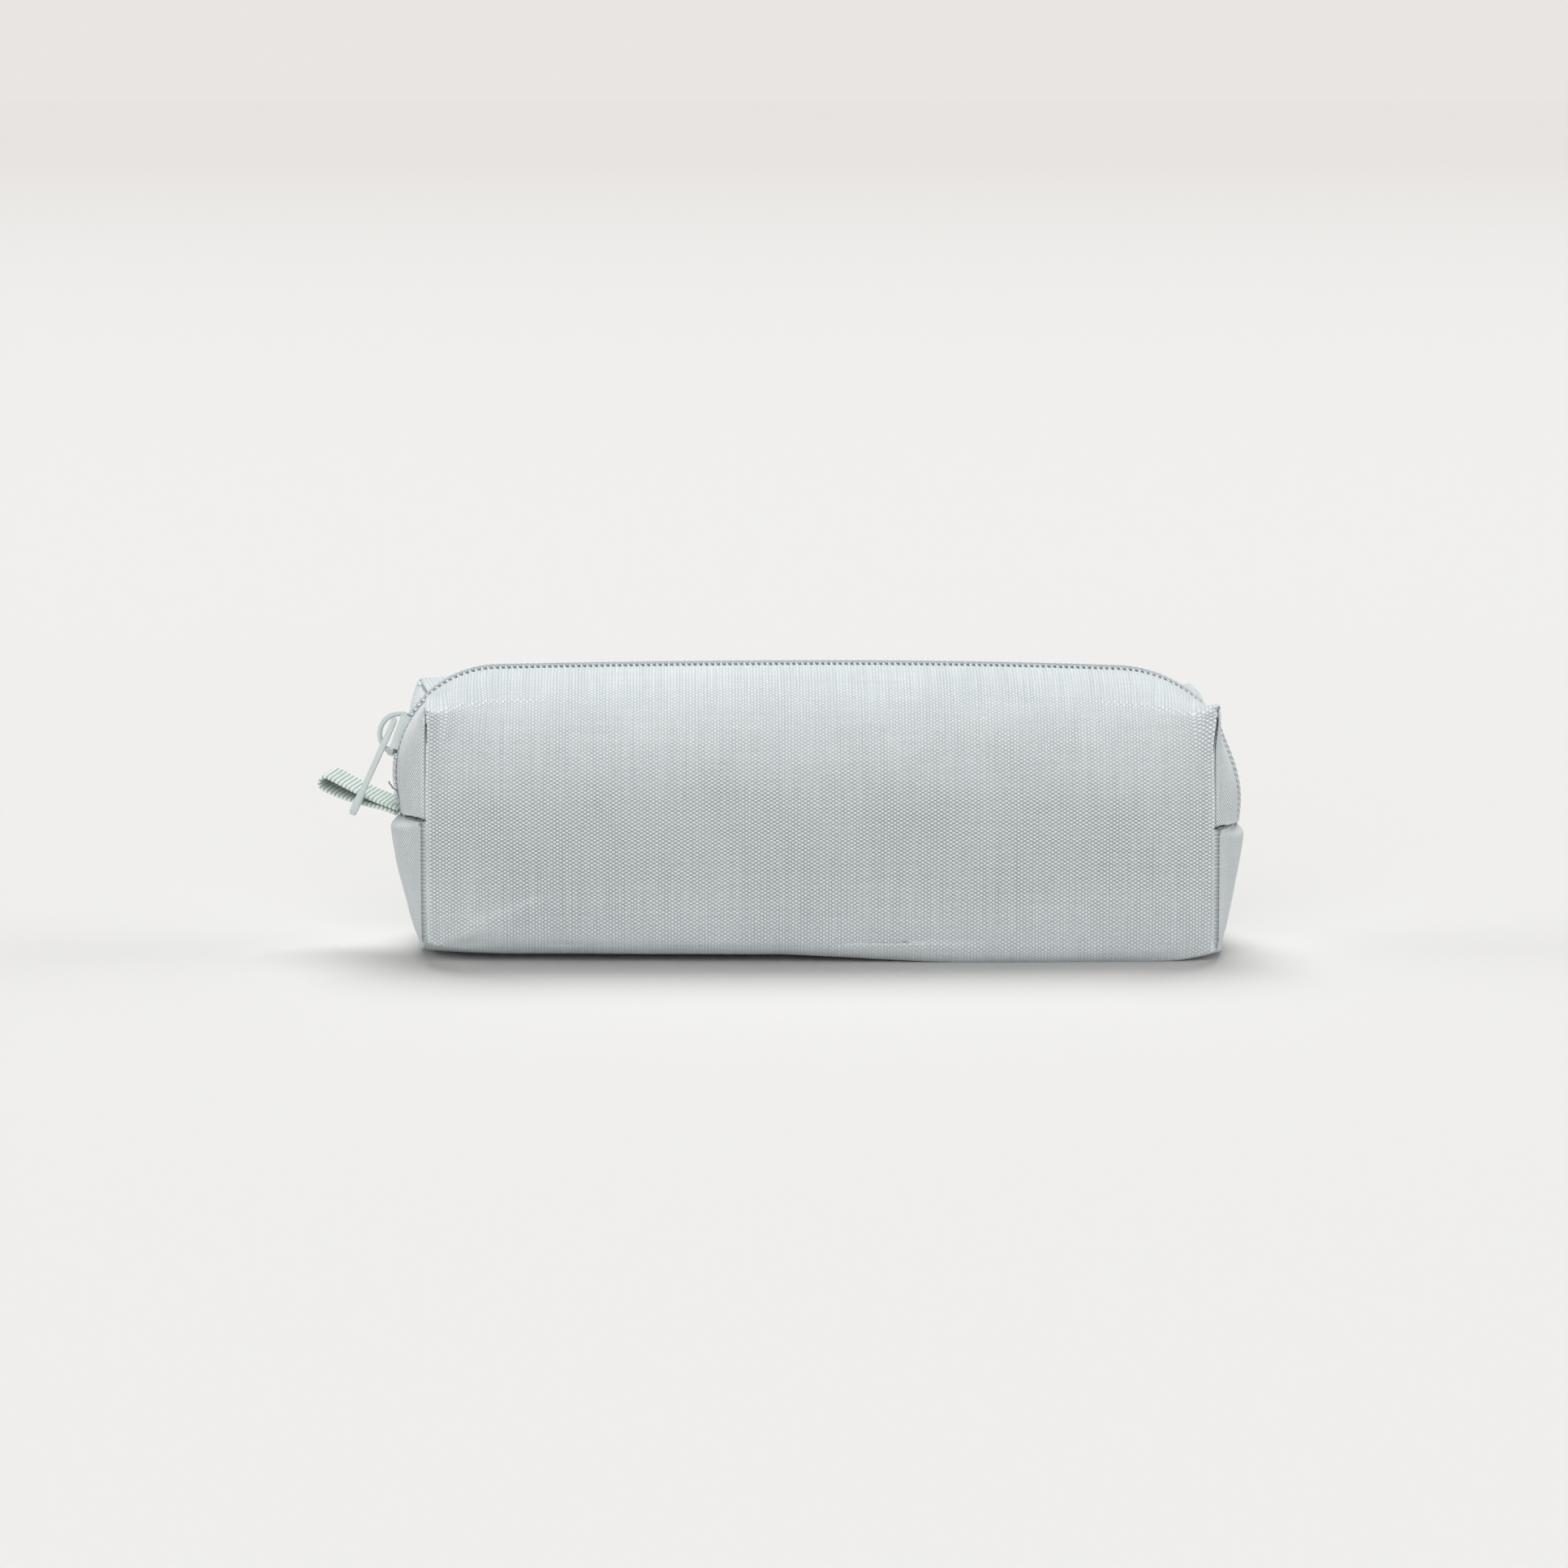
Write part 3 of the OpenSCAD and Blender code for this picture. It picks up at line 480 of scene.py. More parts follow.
def build_skin(d, fine):
    """The cloth at depth d: fine for the outer canvas, coarser for what lies under it."""
    c = Cloth()

    def n(few, many):
        return many if fine else few

    j_top = [first_col, 0.14, 0.25] + samples([0.4, 1, 2, 3, 3.6, 3.85, 4],
                                          [n(2, 4), n(3, 8), n(3, 8), n(3, 6), 3, n(2, 5)])
    j_up = samples([4, 4.1, 5, 6, 7, 8, 9, 10], [n(1, 2)] + [n(4, 11)] * 6)
    j_low = samples([10, 10.3, 11, 12, 13, 13.85, 14],
                    [n(2, 7), n(3, 10), n(3, 14), n(3, 14), n(3, 12), n(2, 3)])
    j_base = samples([14, 14.15, 14.5, 15, 16, 17, 18, 19], [n(2, 5), n(1, 4), n(2, 4), n(2, 4), 2, 2, 2])
    js = j_top + j_up[1:] + j_low[1:] + j_base[1:]
    edge = half_l - d
    xs = [0]
    for e in samples([edge, 40, 14, 5, 2.2, 0], [n(20, 44), n(10, 26), n(6, 14), n(3, 12), n(4, 13)])[1:]:
        xs.append(edge - e)
    xs = [-x for x in xs[:0:-1]] + xs

    def tube_mark(a, b):
        e, j = edge - abs(xs[a]), js[b]
        crease = bell(e, 0, bend_reach) * ease((top_cols - j) / bend_cols)
        shoulder = bell(j, top_cols, shoulder_cols) * ease(e / 3) * ramp(abs(xs[a]), *end_shoulder)
        return {"e": e if j >= top_cols else no_seam, "tube": 1, "bend": max(crease, shoulder)}

    for side in (-1, 1):
        rows = [[tube_point(x, j, side, d) for j in js] for x in xs]
        arc = arc_lengths(rows, js.index(side_cols))
        c.grid(rows, side > 0, lambda a, b: (xs[a], -arc[a][b] + (0 if side < 0 else back_u)), tube_mark)
    i_rows = [v - top_cols for v in j_up]
    ks = sorted(set([k - low_cols for k in j_base] + [panel_cols - (k - low_cols) for k in j_base]))
    t_rows = [v - side_cols for v in j_low]
    for end in (-1, 1):
        for side in (-1, 1):
            rows = [[strip_point(end, i, j, side, d) for j in j_top] for i in i_rows]
            arc = arc_lengths(rows, len(j_top) - 1)
            down = arc_lengths([[r[b] for r in rows] for b in range(len(j_top))], len(i_rows) - 1)
            c.grid(rows, (side > 0) != (end > 0),
                   lambda a, b: (end * end_u + side * (strip_u + arc[a][b]), -down[b][a]),
                   lambda a, b: {"e": -arc[a][b], "bend": bell(i_rows[a], 0, 0.6),
                                 "lip": bell(i_rows[a], upper_rows, 0.12)})
        shelf = shelf_rows([seam_point(end, k, d) for k in ks], [lip_point(end, 0, k, d) for k in ks], end)
        gap = arc_lengths(shelf, 0)
        # The shelf's tuck behind the lip is marked for painted shade, strongest deep in the tuck.
        c.grid(shelf, end > 0, lambda a, b: (end * end_u + shelf[a][b][1], 2 - a * 0.15),
               lambda a, b: {"lip": 0.7, "e": min(gap[a][b], gap[a][-1] - gap[a][b]),
                             "deep": ease((9 - a) / 3)})
        rows = [[lip_point(end, i, k, d) for k in ks] for i in t_rows]
        down = arc_lengths([[r[b] for r in rows] for b in range(len(ks))], 0)
        wide = arc_lengths(rows, ks.index(top_cols + 1))
        c.grid(rows, end > 0, lambda a, b: (end * end_u + wide[a][b], -down[b][a]),
               lambda a, b: {"e": min(wide[a][b] - wide[a][0], wide[a][-1] - wide[a][b]),
                             "lip": 0.5 * bell(t_rows[a], 0, 0.12)})
    return c


def relax(pts, edges, weight, rounds):
    """Draws the weighted points towards their neighbours, rounds times over, in place."""
    near = edges[(weight[edges] > 0).any(axis=1)]
    count = np.maximum(1, np.bincount(near.ravel(), minlength=len(pts)))
    for _ in range(rounds):
        total = np.stack([np.bincount(near[:, 0], pts[near[:, 1], m], len(pts))
                          + np.bincount(near[:, 1], pts[near[:, 0], m], len(pts)) for m in range(3)], axis=1)
        pts += (weight * 0.5)[:, None] * (total / count[:, None] - pts)


def soften(pts, faces, e, bend, lip, rounds):
    """Rounds the bends, the lips and the ears, and once more the loose cloth of the rear ears."""
    near_slot = np.clip((np.abs(pts[:, 1]) - slot_half - 0.6) / 4, 0, 1)
    tops = np.array([(end * half_l, side * half_w, crest_h - drop_at(end))
                     for end in (-1, 1) for side in (-1, 1)])
    reach = np.where(pts[:, 1] > 0, rear_ear, front_ear)
    ear = np.exp(-(np.min(np.linalg.norm(pts[:, None] - tops[None], axis=2), axis=1) / reach) ** 2)
    weight = np.maximum(np.maximum(bend * near_slot, ear), lip * np.clip(e / 2, 0, 1))
    weight[weight < 0.02] = 0
    pairs = set()
    for f in faces:
        for a, b in zip(f, f[1:] + f[:1]):
            pairs.add((min(a, b), max(a, b)))
    edges = np.array(sorted(pairs))
    relax(pts, edges, weight, rounds)
    turn = np.abs(np.abs(pts[:, 0]) - half_l)
    behind, high = np.clip((pts[:, 1] - 9) / 8, 0, 1), np.clip((pts[:, 2] - 50) / 6, 0, 1)
    loose = np.exp(-(turn / rear_reach) ** 2) * behind * high
    loose[loose < 0.03] = 0
    relax(pts, edges, loose, rear_rounds)


def seam_steps(on_tube, low, bite, below):
    """The steps that the sewing presses in: bite is 1 at a stitch, and below counts down from the top."""
    if on_tube:
        high, deep = swell[0] + stitch_swell * bite, pinch[0] + stitch_pinch * bite
        return (high, *swell[1:]), (-dent[0], *dent[1:]), (-deep, *pinch[1:])
    tuck = pocket[0] * bell(below, *pocket[1:])
    sink = low_sink if low else high_sink + stitch_sink * bite + tuck
    return (-sink, 0, sink_w + pocket_spread * tuck),


def finish_cloth(c, seam, wrinkle, rounds):
    """Softens the bends, presses in the seams and adds the slight unevenness of sewn cloth."""
    pts = np.array(c.points)
    faces = [f for f, _ in c.faces]
    e = np.array([m.get("e", no_seam) for m in c.marks])
    tube, bend, lip = (np.array([m.get(label, 0) for m in c.marks]) for label in ("tube", "bend", "lip"))
    soften(pts, faces, e, bend, lip, rounds)
    n = normals_of(pts, faces)
    out = pts.copy()
    # Painted shade starts from the tuck behind each lip; the seams add painted shade in their grooves and a
    # painted highlight on their ridges.
    c.groove, c.ridge = [m.get("deep", 0) for m in c.marks], [0.0] * len(pts)
    for k, p in enumerate(pts):
        q, below = e[k], crest_h - drop_at(p[0]) - p[2]
        free = ease(q / free_run) * (ramp(abs(p[1]), slot_half, free_run) if p[2] > mid_at(p[0]) else 1)
        lift = wrinkle * free * sum(high * wave(*p, long, seed) for high, long, seed in wrinkle_sizes)
        run = ramp(below, *seam_top) * ramp(p[2] - lift_at(p[0]), *seam_foot)
        if p[1] > 0:
            run *= ramp(below, *rear_seam_top)
        if q < seam_band and run > 0:
            bite = 0.5 + 0.5 * math.cos(p[2] * 2 * math.pi / stitch)
            low = not tube[k] and p[2] < seam_at(p[0]) + 1
            groove_w = thin_groove if tube[k] or low else wide_groove
            pressed = run * (1 - bite_share + bite_share * bite) * (low_share if low else 1)
            # The seam's groove gets painted shade and its ridge a painted highlight.
            c.groove[k] = max(c.groove[k], pressed * bell(q, 0, groove_w))
            c.ridge[k] = run * bell(q, *ridge) * (1 if tube[k] else ridge_share)
            for high, middle, width in seam_steps(tube[k], low, bite, below):
                lift += seam * run * high * bell(q, middle, width)
        if p[2] < diagonal_top and p[0] < 0 and p[1] < 0:
            from_seam = p[0] + half_l
            along = from_seam * diagonal[0] + (p[2] - diagonal_z) * diagonal[1]
            crease = wrinkle * 0.55 * bell(along, 0, diagonal_w)
            lift -= crease * ease(from_seam / 6) * ease((diagonal_l - p[0] - half_l) / diagonal_fade)
        out[k] = p + n[k] * lift * (1 if p[2] > 5 else 0.3) + rear_lean(*p)
        out[k][2] = max(out[k][2], 0)
    c.points = list(out)
    return c


def rear_lean(x, y, z):
    """How far the corners' tops lean and rise, where the sewn cloth doesn't stand quite square."""
    lean = (lean_left * ramp(-x, *lean_x) + lean_right * ramp(x, *lean_x)) * ramp(y, *lean_y) * ramp(z, *lean_z)
    rear = ramp(y, *rise_y) * ramp(z, *rise_z)
    rise = (rise_left * ramp(-x, *rise_x_left) + rise_right * ramp(x, *rise_x_right)) * rear
    ear = ramp(x, *ear_x) * ramp(-y, *ear_y)
    rise += ear_rise * ear * ramp(z, *ear_z)
    return np.array((ear_out * ear * bell(z, *ear_bulge) - lean, 0, rise))


def as_object(name, c):
    """The skin as a mesh, with the marks of painted seam shade and highlight that its paint reads."""
    obj = link_mesh(name, c.points, [f for f, _ in c.faces], [q for _, u in c.faces for q in u])
    for label, values in (("groove", c.groove), ("ridge", c.ridge)):
        obj.data.attributes.new(label, "FLOAT", "POINT").data.foreach_set("value", values)
    return obj


def edge_ring(p0, p1, q0):
    """Section of the folded edge at p0, where p1 lies further from the slot and q0 deeper in the cloth."""
    t = p1 - p0
    size = np.linalg.norm(t)
    t = t / size
    n = p0 - q0
    n = n - t * n.dot(t)
    n = n / np.linalg.norm(n)
    ring = [p1 + t * 0.02 - n * 0.02]
    for k in range(9):
        a = math.pi * k / 8
        ring.append(p0 + t * (size - size * math.sin(a)) + n * (-0.5 + 0.5 * math.cos(a)))
    ring.append(p0 + t * turn_under - n)
    return ring


def folded_edge(name, d):
    """The canvas edge folded under along the slot, on each side, from one end seam to the other."""
    out = []
    i_rows = [upper_rows - k * 0.15 for k in range(40)]
    for side, label in ((-1, "front"), (1, "back")):

        def ring_of(point, at):
            return edge_ring(point(*at, 0, side, d), point(*at, first_col, side, d), point(*at, 0, side, d + 1))

        rows = [ring_of(strip_point, (-1, i)) for i in i_rows]
        x = -(half_l - d)
        while x <= half_l - d + 1e-6:
            rows.append(ring_of(tube_point, (x,)))
            x += 2 * (half_l - d) / 280
        rows += [ring_of(strip_point, (1, i)) for i in i_rows[::-1]]
        run = [0]
        for a, b in zip(rows, rows[1:]):
            run.append(run[-1] + float(np.linalg.norm(b[1] - a[1])))
        points, uvs = [], []
        for a, r in enumerate(rows):
            for b, p in enumerate(r):
                wob = 0.06 * wave(run[a], 0, side * 9, 1.6, 2.2) + 0.09 * wave(run[a], 5, side * 9, 7, 4.1)
                points.append(p + np.array([0, side * wob * (1 if 2 <= b <= 8 else 0.3), wob * 0.6]))
                uvs.append((run[a], fold_v + b * 0.25))
        out.append(make_object(f"{name}_{label}", points, sheet_faces(len(rows), len(rows[0]), side), uvs))
    return out


# Materials
class Net:
    """A node material, with short ways to add and join its nodes."""

    def __init__(self, name):
        self.material = bpy.data.materials.new(name)
        self.material.use_nodes = True
        self.tree = self.material.node_tree
        self.tree.nodes.clear()
        self.out = self.add("ShaderNodeOutputMaterial")
        self.bsdf = self.add("ShaderNodeBsdfPrincipled")
        self.tree.links.new(self.bsdf.outputs[0], self.out.inputs["Surface"])

    def add(self, kind, **props):
        n = self.tree.nodes.new(kind)
        for k, v in props.items():
            setattr(n, k, v)
        return n

    def put(self, socket, value):
        if isinstance(value, bpy.types.NodeSocket):
            self.tree.links.new(value, socket)
        elif value is not None:
            socket.default_value = value

    def math(self, op, a, b=None, clamp=False):
        n = self.add("ShaderNodeMath", operation=op, use_clamp=clamp)
        for s, v in zip(n.inputs, (a, b)):
            self.put(s, v)
        return n.outputs[0]

    def split(self, vector):
        s = self.add("ShaderNodeSeparateXYZ")
        self.put(s.inputs[0], vector)
        return s.outputs[0], s.outputs[1], s.outputs[2]

    def uv(self):
        return self.split(self.add("ShaderNodeUVMap", uv_map="cloth").outputs[0])[:2]

    def cosine(self, value, length):
        return self.math("COSINE", self.math("MULTIPLY", value, 2 * math.pi / length))

    def swing(self, value, size):
        """A value that runs about a half, as a swing of that size about zero."""
        return self.math("MULTIPLY", self.math("SUBTRACT", value, 0.5), size)

    def place(self):
        return self.add("ShaderNodeTexCoord").outputs["Object"]

    def noise(self, vector, scale, detail=2, rough=0.5, stretch=None):
        if stretch is not None:
            m = self.add("ShaderNodeMapping")
            m.inputs["Scale"].default_value = stretch
            self.put(m.inputs["Vector"], vector)
            vector = m.outputs[0]
        n = self.add("ShaderNodeTexNoise")
        self.put(n.inputs["Vector"], vector)
        n.inputs["Scale"].default_value = scale
        n.inputs["Detail"].default_value = detail
        n.inputs["Roughness"].default_value = rough
        return n.outputs["Fac"]

    def step(self, value, a, b, lo=0, hi=1):
        n = self.add("ShaderNodeMapRange", interpolation_type="SMOOTHSTEP")
        for k, v in zip(("Value", "From Min", "From Max", "To Min", "To Max"), (value, a, b, lo, hi)):
            self.put(n.inputs[k], v)
        return n.outputs[0]

    def mixed(self, share, a, b):
        n = self.add("ShaderNodeMix", data_type="RGBA")
        self.put(n.inputs["Factor"], share)
        self.put(n.inputs[6], (*a, 1) if isinstance(a, tuple) else a)
        self.put(n.inputs[7], (*b, 1) if isinstance(b, tuple) else b)
        return n.outputs[2]

    def bump(self, height, distance):
        n = self.add("ShaderNodeBump")
        n.inputs["Strength"].default_value = 1
        n.inputs["Distance"].default_value = distance
        self.put(n.inputs["Height"], height)
        return n.outputs[0]

    def finish(self, colour, rough, normal, specular, **more):
        self.put(self.bsdf.inputs["Base Color"], colour)
        self.put(self.bsdf.inputs["Roughness"], rough)
        self.put(self.bsdf.inputs["Normal"], normal)
        self.bsdf.inputs["Specular IOR Level"].default_value = specular
        for k, v in more.items():
            self.bsdf.inputs[k.replace("_", " ")].default_value = v
        return self.material


# The second number is the share of the weave's painted relief shade kept where faces look up or down, or lie
# near the floor.
yarn_drift, least_relief_shade = 0.2, 0.3


def woven(name, dark, light, warp, weft, depth, rough, streaks, specular):
    """A plain weave in real sizes: warp and weft are the yarn spacings in millimetres. Its colour also carries
    painted light: relief shade between the yarns, faint where faces look up or down or lie near the floor, a
    painted sheen on tilted faces, painted shade in the seam grooves and a painted highlight on the seam ridges.
    """
    n = Net(name)
    u, v = n.uv()
    place = n.place()
    uu = n.math("ADD", u, n.swing(n.noise(place, 900, 2), yarn_drift))
    vv = n.math("ADD", v, n.swing(n.noise(place, 640, 2), yarn_drift))
    check = n.math("MULTIPLY", n.cosine(uu, 2 * warp), n.cosine(vv, 2 * weft))
    up = n.split(n.add("ShaderNodeNewGeometry").outputs["Normal"])[2]
    # Painted light: the weave's relief shade is full on upright faces, which the light grazes, and faint where
    # faces look up or down and low near the floor.
    clear = n.math("MULTIPLY", n.step(up, 0.1, 0.68, 1, least_relief_shade), n.step(up, -0.5, -0.05, least_relief_shade, 1))
    clear = n.math("MULTIPLY", clear, n.step(n.split(place)[2], 0.003, 0.026, least_relief_shade + 0.25, 1))
    # Painted shade in the seam grooves and a painted highlight on the seam ridges; the weave calms there.
    groove = n.add("ShaderNodeAttribute", attribute_name="groove").outputs["Fac"]
    ridge = n.add("ShaderNodeAttribute", attribute_name="ridge").outputs["Fac"]
    seam = n.math("MULTIPLY", 0.8, n.math("MAXIMUM", ridge, groove))
    clear = n.math("MULTIPLY", clear, n.math("SUBTRACT", 1, seam))
    # A painted sheen: faces that lean up part way are painted brighter, as raking light catches them.
    tilt_sheen = n.math("MULTIPLY", n.step(up, 0.0, 0.3), n.step(up, 0.6, 0.97, 1, 0))
    level = n.math("ADD", 0.45, n.math("MULTIPLY", tilt_sheen, 0.16))
    # The dark between the yarns is painted shade of the weave's relief.
    yarns = n.math("MULTIPLY", n.math("SUBTRACT", n.step(check, -0.5, 0.6), 0.35), clear)
    height = n.math("ADD", level, yarns)
    combined = n.add("ShaderNodeCombineXYZ")
    n.put(combined.inputs[0], u)
    n.put(combined.inputs[1], v)
    warp_streak = n.noise(combined.outputs[0], 1.0, 3, 0.6, (1.9, 0.035, 1))
    weft_streak = n.noise(combined.outputs[0], 1.0, 3, 0.6, (0.03, 1.3, 1))
    streak = n.math("ADD", n.swing(warp_streak, 1.2 * streaks), n.swing(weft_streak, 0.5 * streaks))
    # The streak at the warp's pitch is painted shade between the warp yarns.
    streak = n.math("ADD", streak, n.math("MULTIPLY", n.cosine(uu, warp), 0.3 * streaks))
    patch = n.swing(n.noise(place, 45, 3), 0.25)
    # patch is tone that differs at random; the seam ridges add their painted highlight.
    extra = n.math("ADD", patch, n.math("MULTIPLY", ridge, 0.3))
    share = n.math("ADD", n.math("ADD", height, streak), extra, clamp=True)
    # The seam grooves darken towards a deep painted shade colour.
    in_groove = tuple(c * 0.35 for c in dark)
    colour = n.mixed(n.math("MULTIPLY", groove, 0.9), n.mixed(share, dark, light), in_groove)
    relief = n.math("ADD", height, n.math("MULTIPLY", streak, 0.5))
    fine = n.math("MULTIPLY", n.noise(place, 5200, 1), 0.2)
    roughness = n.math("ADD", rough, n.swing(n.noise(place, 160, 2), 0.16))
    return n.finish(colour, roughness, n.bump(n.math("ADD", relief, fine), depth * MM), specular)


canvas_paint = woven("coated_oxford", (0.33, 0.372, 0.392), (0.93, 0.985, 1.0), 0.76, 0.465, 0.3,
                     rough=0.62, streaks=0.36, specular=0.3)
lining_paint = woven("lining_twill", (0.42, 0.46, 0.46), (0.62, 0.66, 0.66), 0.14, 0.16, 0.02,
                     rough=0.8, streaks=0.3, specular=0.2)
tape_paint = woven("tape_weave", (0.54, 0.60, 0.615), (0.76, 0.82, 0.835), 0.3, 0.36, 0.05,
                   rough=0.75, streaks=0.3, specular=0.2)
binding_paint = woven("binding_weave", (0.46, 0.52, 0.53), (0.66, 0.72, 0.73), 0.3, 0.3, 0.04,
                      rough=0.8, streaks=0.3, specular=0.2)


def paint(obj, material, body, replaces=()):
    obj.data.materials.clear()
    obj.data.materials.append(material)
    if body is not None:
        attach(obj, body)
    if replaces:
        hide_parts(*replaces)
    return obj


def solidify(obj, thickness):
    m = obj.modifiers.new("thickness", "SOLIDIFY")
    m.thickness = thickness * MM
    m.offset = -1
    m.use_even_offset = False
    return obj


# The canvas, the lining and the tapes
wrap = as_object("canvas_wrap", finish_cloth(build_skin(0, True), 1.0, 1.0, canvas_rounds))
paint(solidify(wrap, skin_t), canvas_paint, "pouch", ("outer_wrap",))
for o in folded_edge("canvas_fold", 0):
    paint(solidify(o, fold_t), canvas_paint, "pouch", ("outer_wrap",))

inner = build_skin(lining_out + lining_slack, False)
lining = as_object("lining_cloth", finish_cloth(inner, 0.3, 0.5, lining_rounds))
paint(solidify(lining, lining_t), lining_paint, "pouch", ("lining",))


def zip_frame(s):
    """Point of the tape's outer face at s along the zip, the way out and the way along."""
    x, z = zip_at(s, 0)
    a = facing(s)
    return np.array((x, 0, z)), np.array((cosd(a), 0, sind(a))), np.array((sind(a), 0, -cosd(a)))


def zip_tape(side, name, node):
    """Woven tape from beside the coil to under the canvas, with a raised edge where the coil is sewn on."""
    section = ((1.75, 0), (2.4, 0.02), (3.0, 0.03), (3.6, 0.01), (4.3, 0), (5.2, 0), (7, 0), (9, 0), (12, 0))
    rows, steps = [], 360
    for k in range(steps + 1):
        s = zip_l * k / steps
        p, n, t = zip_frame(s)
        row = []
        for y, h in section:
            wob = 0.05 * wave(s, y, side * 5, 5, 1.1)
            row.append(p + n * (h - 0.05 + wob * 0.5 - 0.05 * max(0, y - 5)) + np.array((0, side * y, 0)))
        rows.append(row)
    run = arc_lengths([[r[0] for r in rows]])[0]
    uvs = [(along, y) for along in run for y, h in section]
    faces = sheet_faces(len(rows), len(section), side)
    obj = make_object(name, [p for r in rows for p in r], faces, uvs)
    return paint(solidify(obj, tape_t), tape_paint, "pouch", (node,))


zip_tape(-1, "tape_front", "front_zip_tape")
zip_tape(1, "tape_back", "back_zip_tape")


def tube_mesh(name, line, radius, sides):
    """A round wire along a line of points in millimetres."""
    line = np.array(line, float)
    t = np.gradient(line, axis=0)
    t /= np.linalg.norm(t, axis=1)[:, None]
    ref = np.array((0, 1, 0)) if abs(t[0][1]) < 0.9 else np.array((1, 0, 0))
    points, uvs = [], []
    n = ref - t[0] * ref.dot(t[0])
    run = arc_lengths([line])[0]
    for k, p in enumerate(line):
        n = n - t[k] * n.dot(t[k])
        n /= np.linalg.norm(n)
        b = np.cross(t[k], n)
        for q in range(sides):
            a = 2 * math.pi * q / sides
            points.append(p + radius * (math.cos(a) * n + math.sin(a) * b))
            uvs.append((run[k], q * 2 * math.pi * radius / sides))
    return make_object(name, points, ring_faces(len(line), sides), uvs)


def nylon(name, colour, rough):
    n = Net(name)
    place = n.place()
    share = n.noise(place, 700, 3)
    col = n.mixed(share, tuple(c * 0.92 for c in colour), tuple(min(1, c * 1.05) for c in colour))
    r = n.math("ADD", rough, n.math("MULTIPLY", n.noise(place, 1500, 2), 0.2))
    return n.finish(col, r, n.bump(n.noise(place, 4200, 2), 0.012 * MM), 0.5)


def coil_nylon(name, outside, inside):
    """Nylon that is darker between the two coils, where less light comes in."""
    n = Net(name)
    place = n.place()
    far = n.step(n.math("ABSOLUTE", n.split(place)[1]), 0.0013, 0.0021)
    shade = n.mixed(n.noise(place, 700, 3), tuple(c * 0.92 for c in outside), outside)
    rough = n.math("ADD", 0.35, n.math("MULTIPLY", n.noise(place, 1500, 2), 0.2))
    return n.finish(n.mixed(far, inside, shade), rough, n.bump(n.noise(place, 4200, 2), 0.012 * MM), 0.5)


coil_paint = coil_nylon("coil_nylon", (0.80, 0.865, 0.885), (0.40, 0.44, 0.46))
post_half, post_play = 0.7, 0.06
coil_part = post_half + post_play + coil_mesh
slider_s = run_1 + left_r * math.radians(slider_at + zip_tuck)
part_from, part_full = slider_s + slider_l * 0.08, slider_s - slider_l * 0.2


def parting(s):
    """How far a coil stands aside at s, behind the closed slider's post."""
    return coil_part * ease((part_from - s) / (part_from - part_full)) * mix(0.35, 1, ease(s / run_1))


def coil(side, name, node):
    """One nylon coil: a wound wire whose heads reach over the middle between the other coil's heads."""
    turns = math.floor((zip_l - 0.2) / coil_pitch)
    start = (zip_l - turns * coil_pitch) / 2
    wire, per = 0.34, 16
    inner, outer = -coil_mesh + wire, coil_half - wire
    line = []
    for k in range(turns * per):
        phase = k / per
        a = 2 * math.pi * phase
        s = start + (phase + (0.25 if side < 0 else 0.75)) * coil_pitch
        s = min(zip_l - 0.35, s + 0.16 * coil_pitch * math.sin(2 * a))
        aside = parting(s)
        c, half = (inner + outer) / 2 + aside, (outer - inner) / 2
        y = c - half * math.cos(a)
        h = coil_h / 2 + (coil_h / 2 - wire) * math.sin(a)
        p, n, t = zip_frame(s)
        line.append(p + n * h + np.array((0, side * y, 0)))
    return paint(tube_mesh(name, line, wire, 7), coil_paint, "pouch", (node,))


coil(-1, "coil_front", "front_coil")
coil(1, "coil_back", "back_coil")
thread_paint = nylon("sewing_thread", (0.62, 0.68, 0.69), 0.7)


def sewing_thread(side, name):
    """The thread that holds a coil to its tape, lying over each turn of the wire."""
    line = []
    steps = int(zip_l / 0.24)
    for k in range(steps + 1):
        s = 0.5 + (zip_l - 1) * k / steps
        p, n, t = zip_frame(s)
        bump = 0.5 + 0.5 * math.cos(2 * math.pi * (s - 0.3) / coil_pitch)
        line.append(p + n * (coil_h - 0.12 + 0.16 * bump) + np.array((0, side * (1.55 + parting(s)), 0)))
    return paint(tube_mesh(name, line, 0.13, 6), thread_paint, "pouch")


sewing_thread(-1, "coil_thread_front")
sewing_thread(1, "coil_thread_back")


# The slider and its pull
def enamel(name, colour):
    n = Net(name)
    place = n.place()
    cloud = n.noise(place, 260, 3)
    speck = n.step(n.noise(place, 2600, 2), 0.66, 0.74)
    col = n.mixed(cloud, tuple(c * 0.97 for c in colour), tuple(min(1, c * 1.03) for c in colour))
    col = n.mixed(n.math("MULTIPLY", speck, 0.10), col, tuple(c * 0.7 for c in colour))
    rough = n.math("ADD", 0.30, n.math("MULTIPLY", n.noise(place, 520, 2), 0.16))
    return n.finish(col, rough, n.bump(n.noise(place, 900, 3), 0.02 * MM), 0.5)


slider_paint = enamel("pale_enamel", (0.58, 0.645, 0.635))


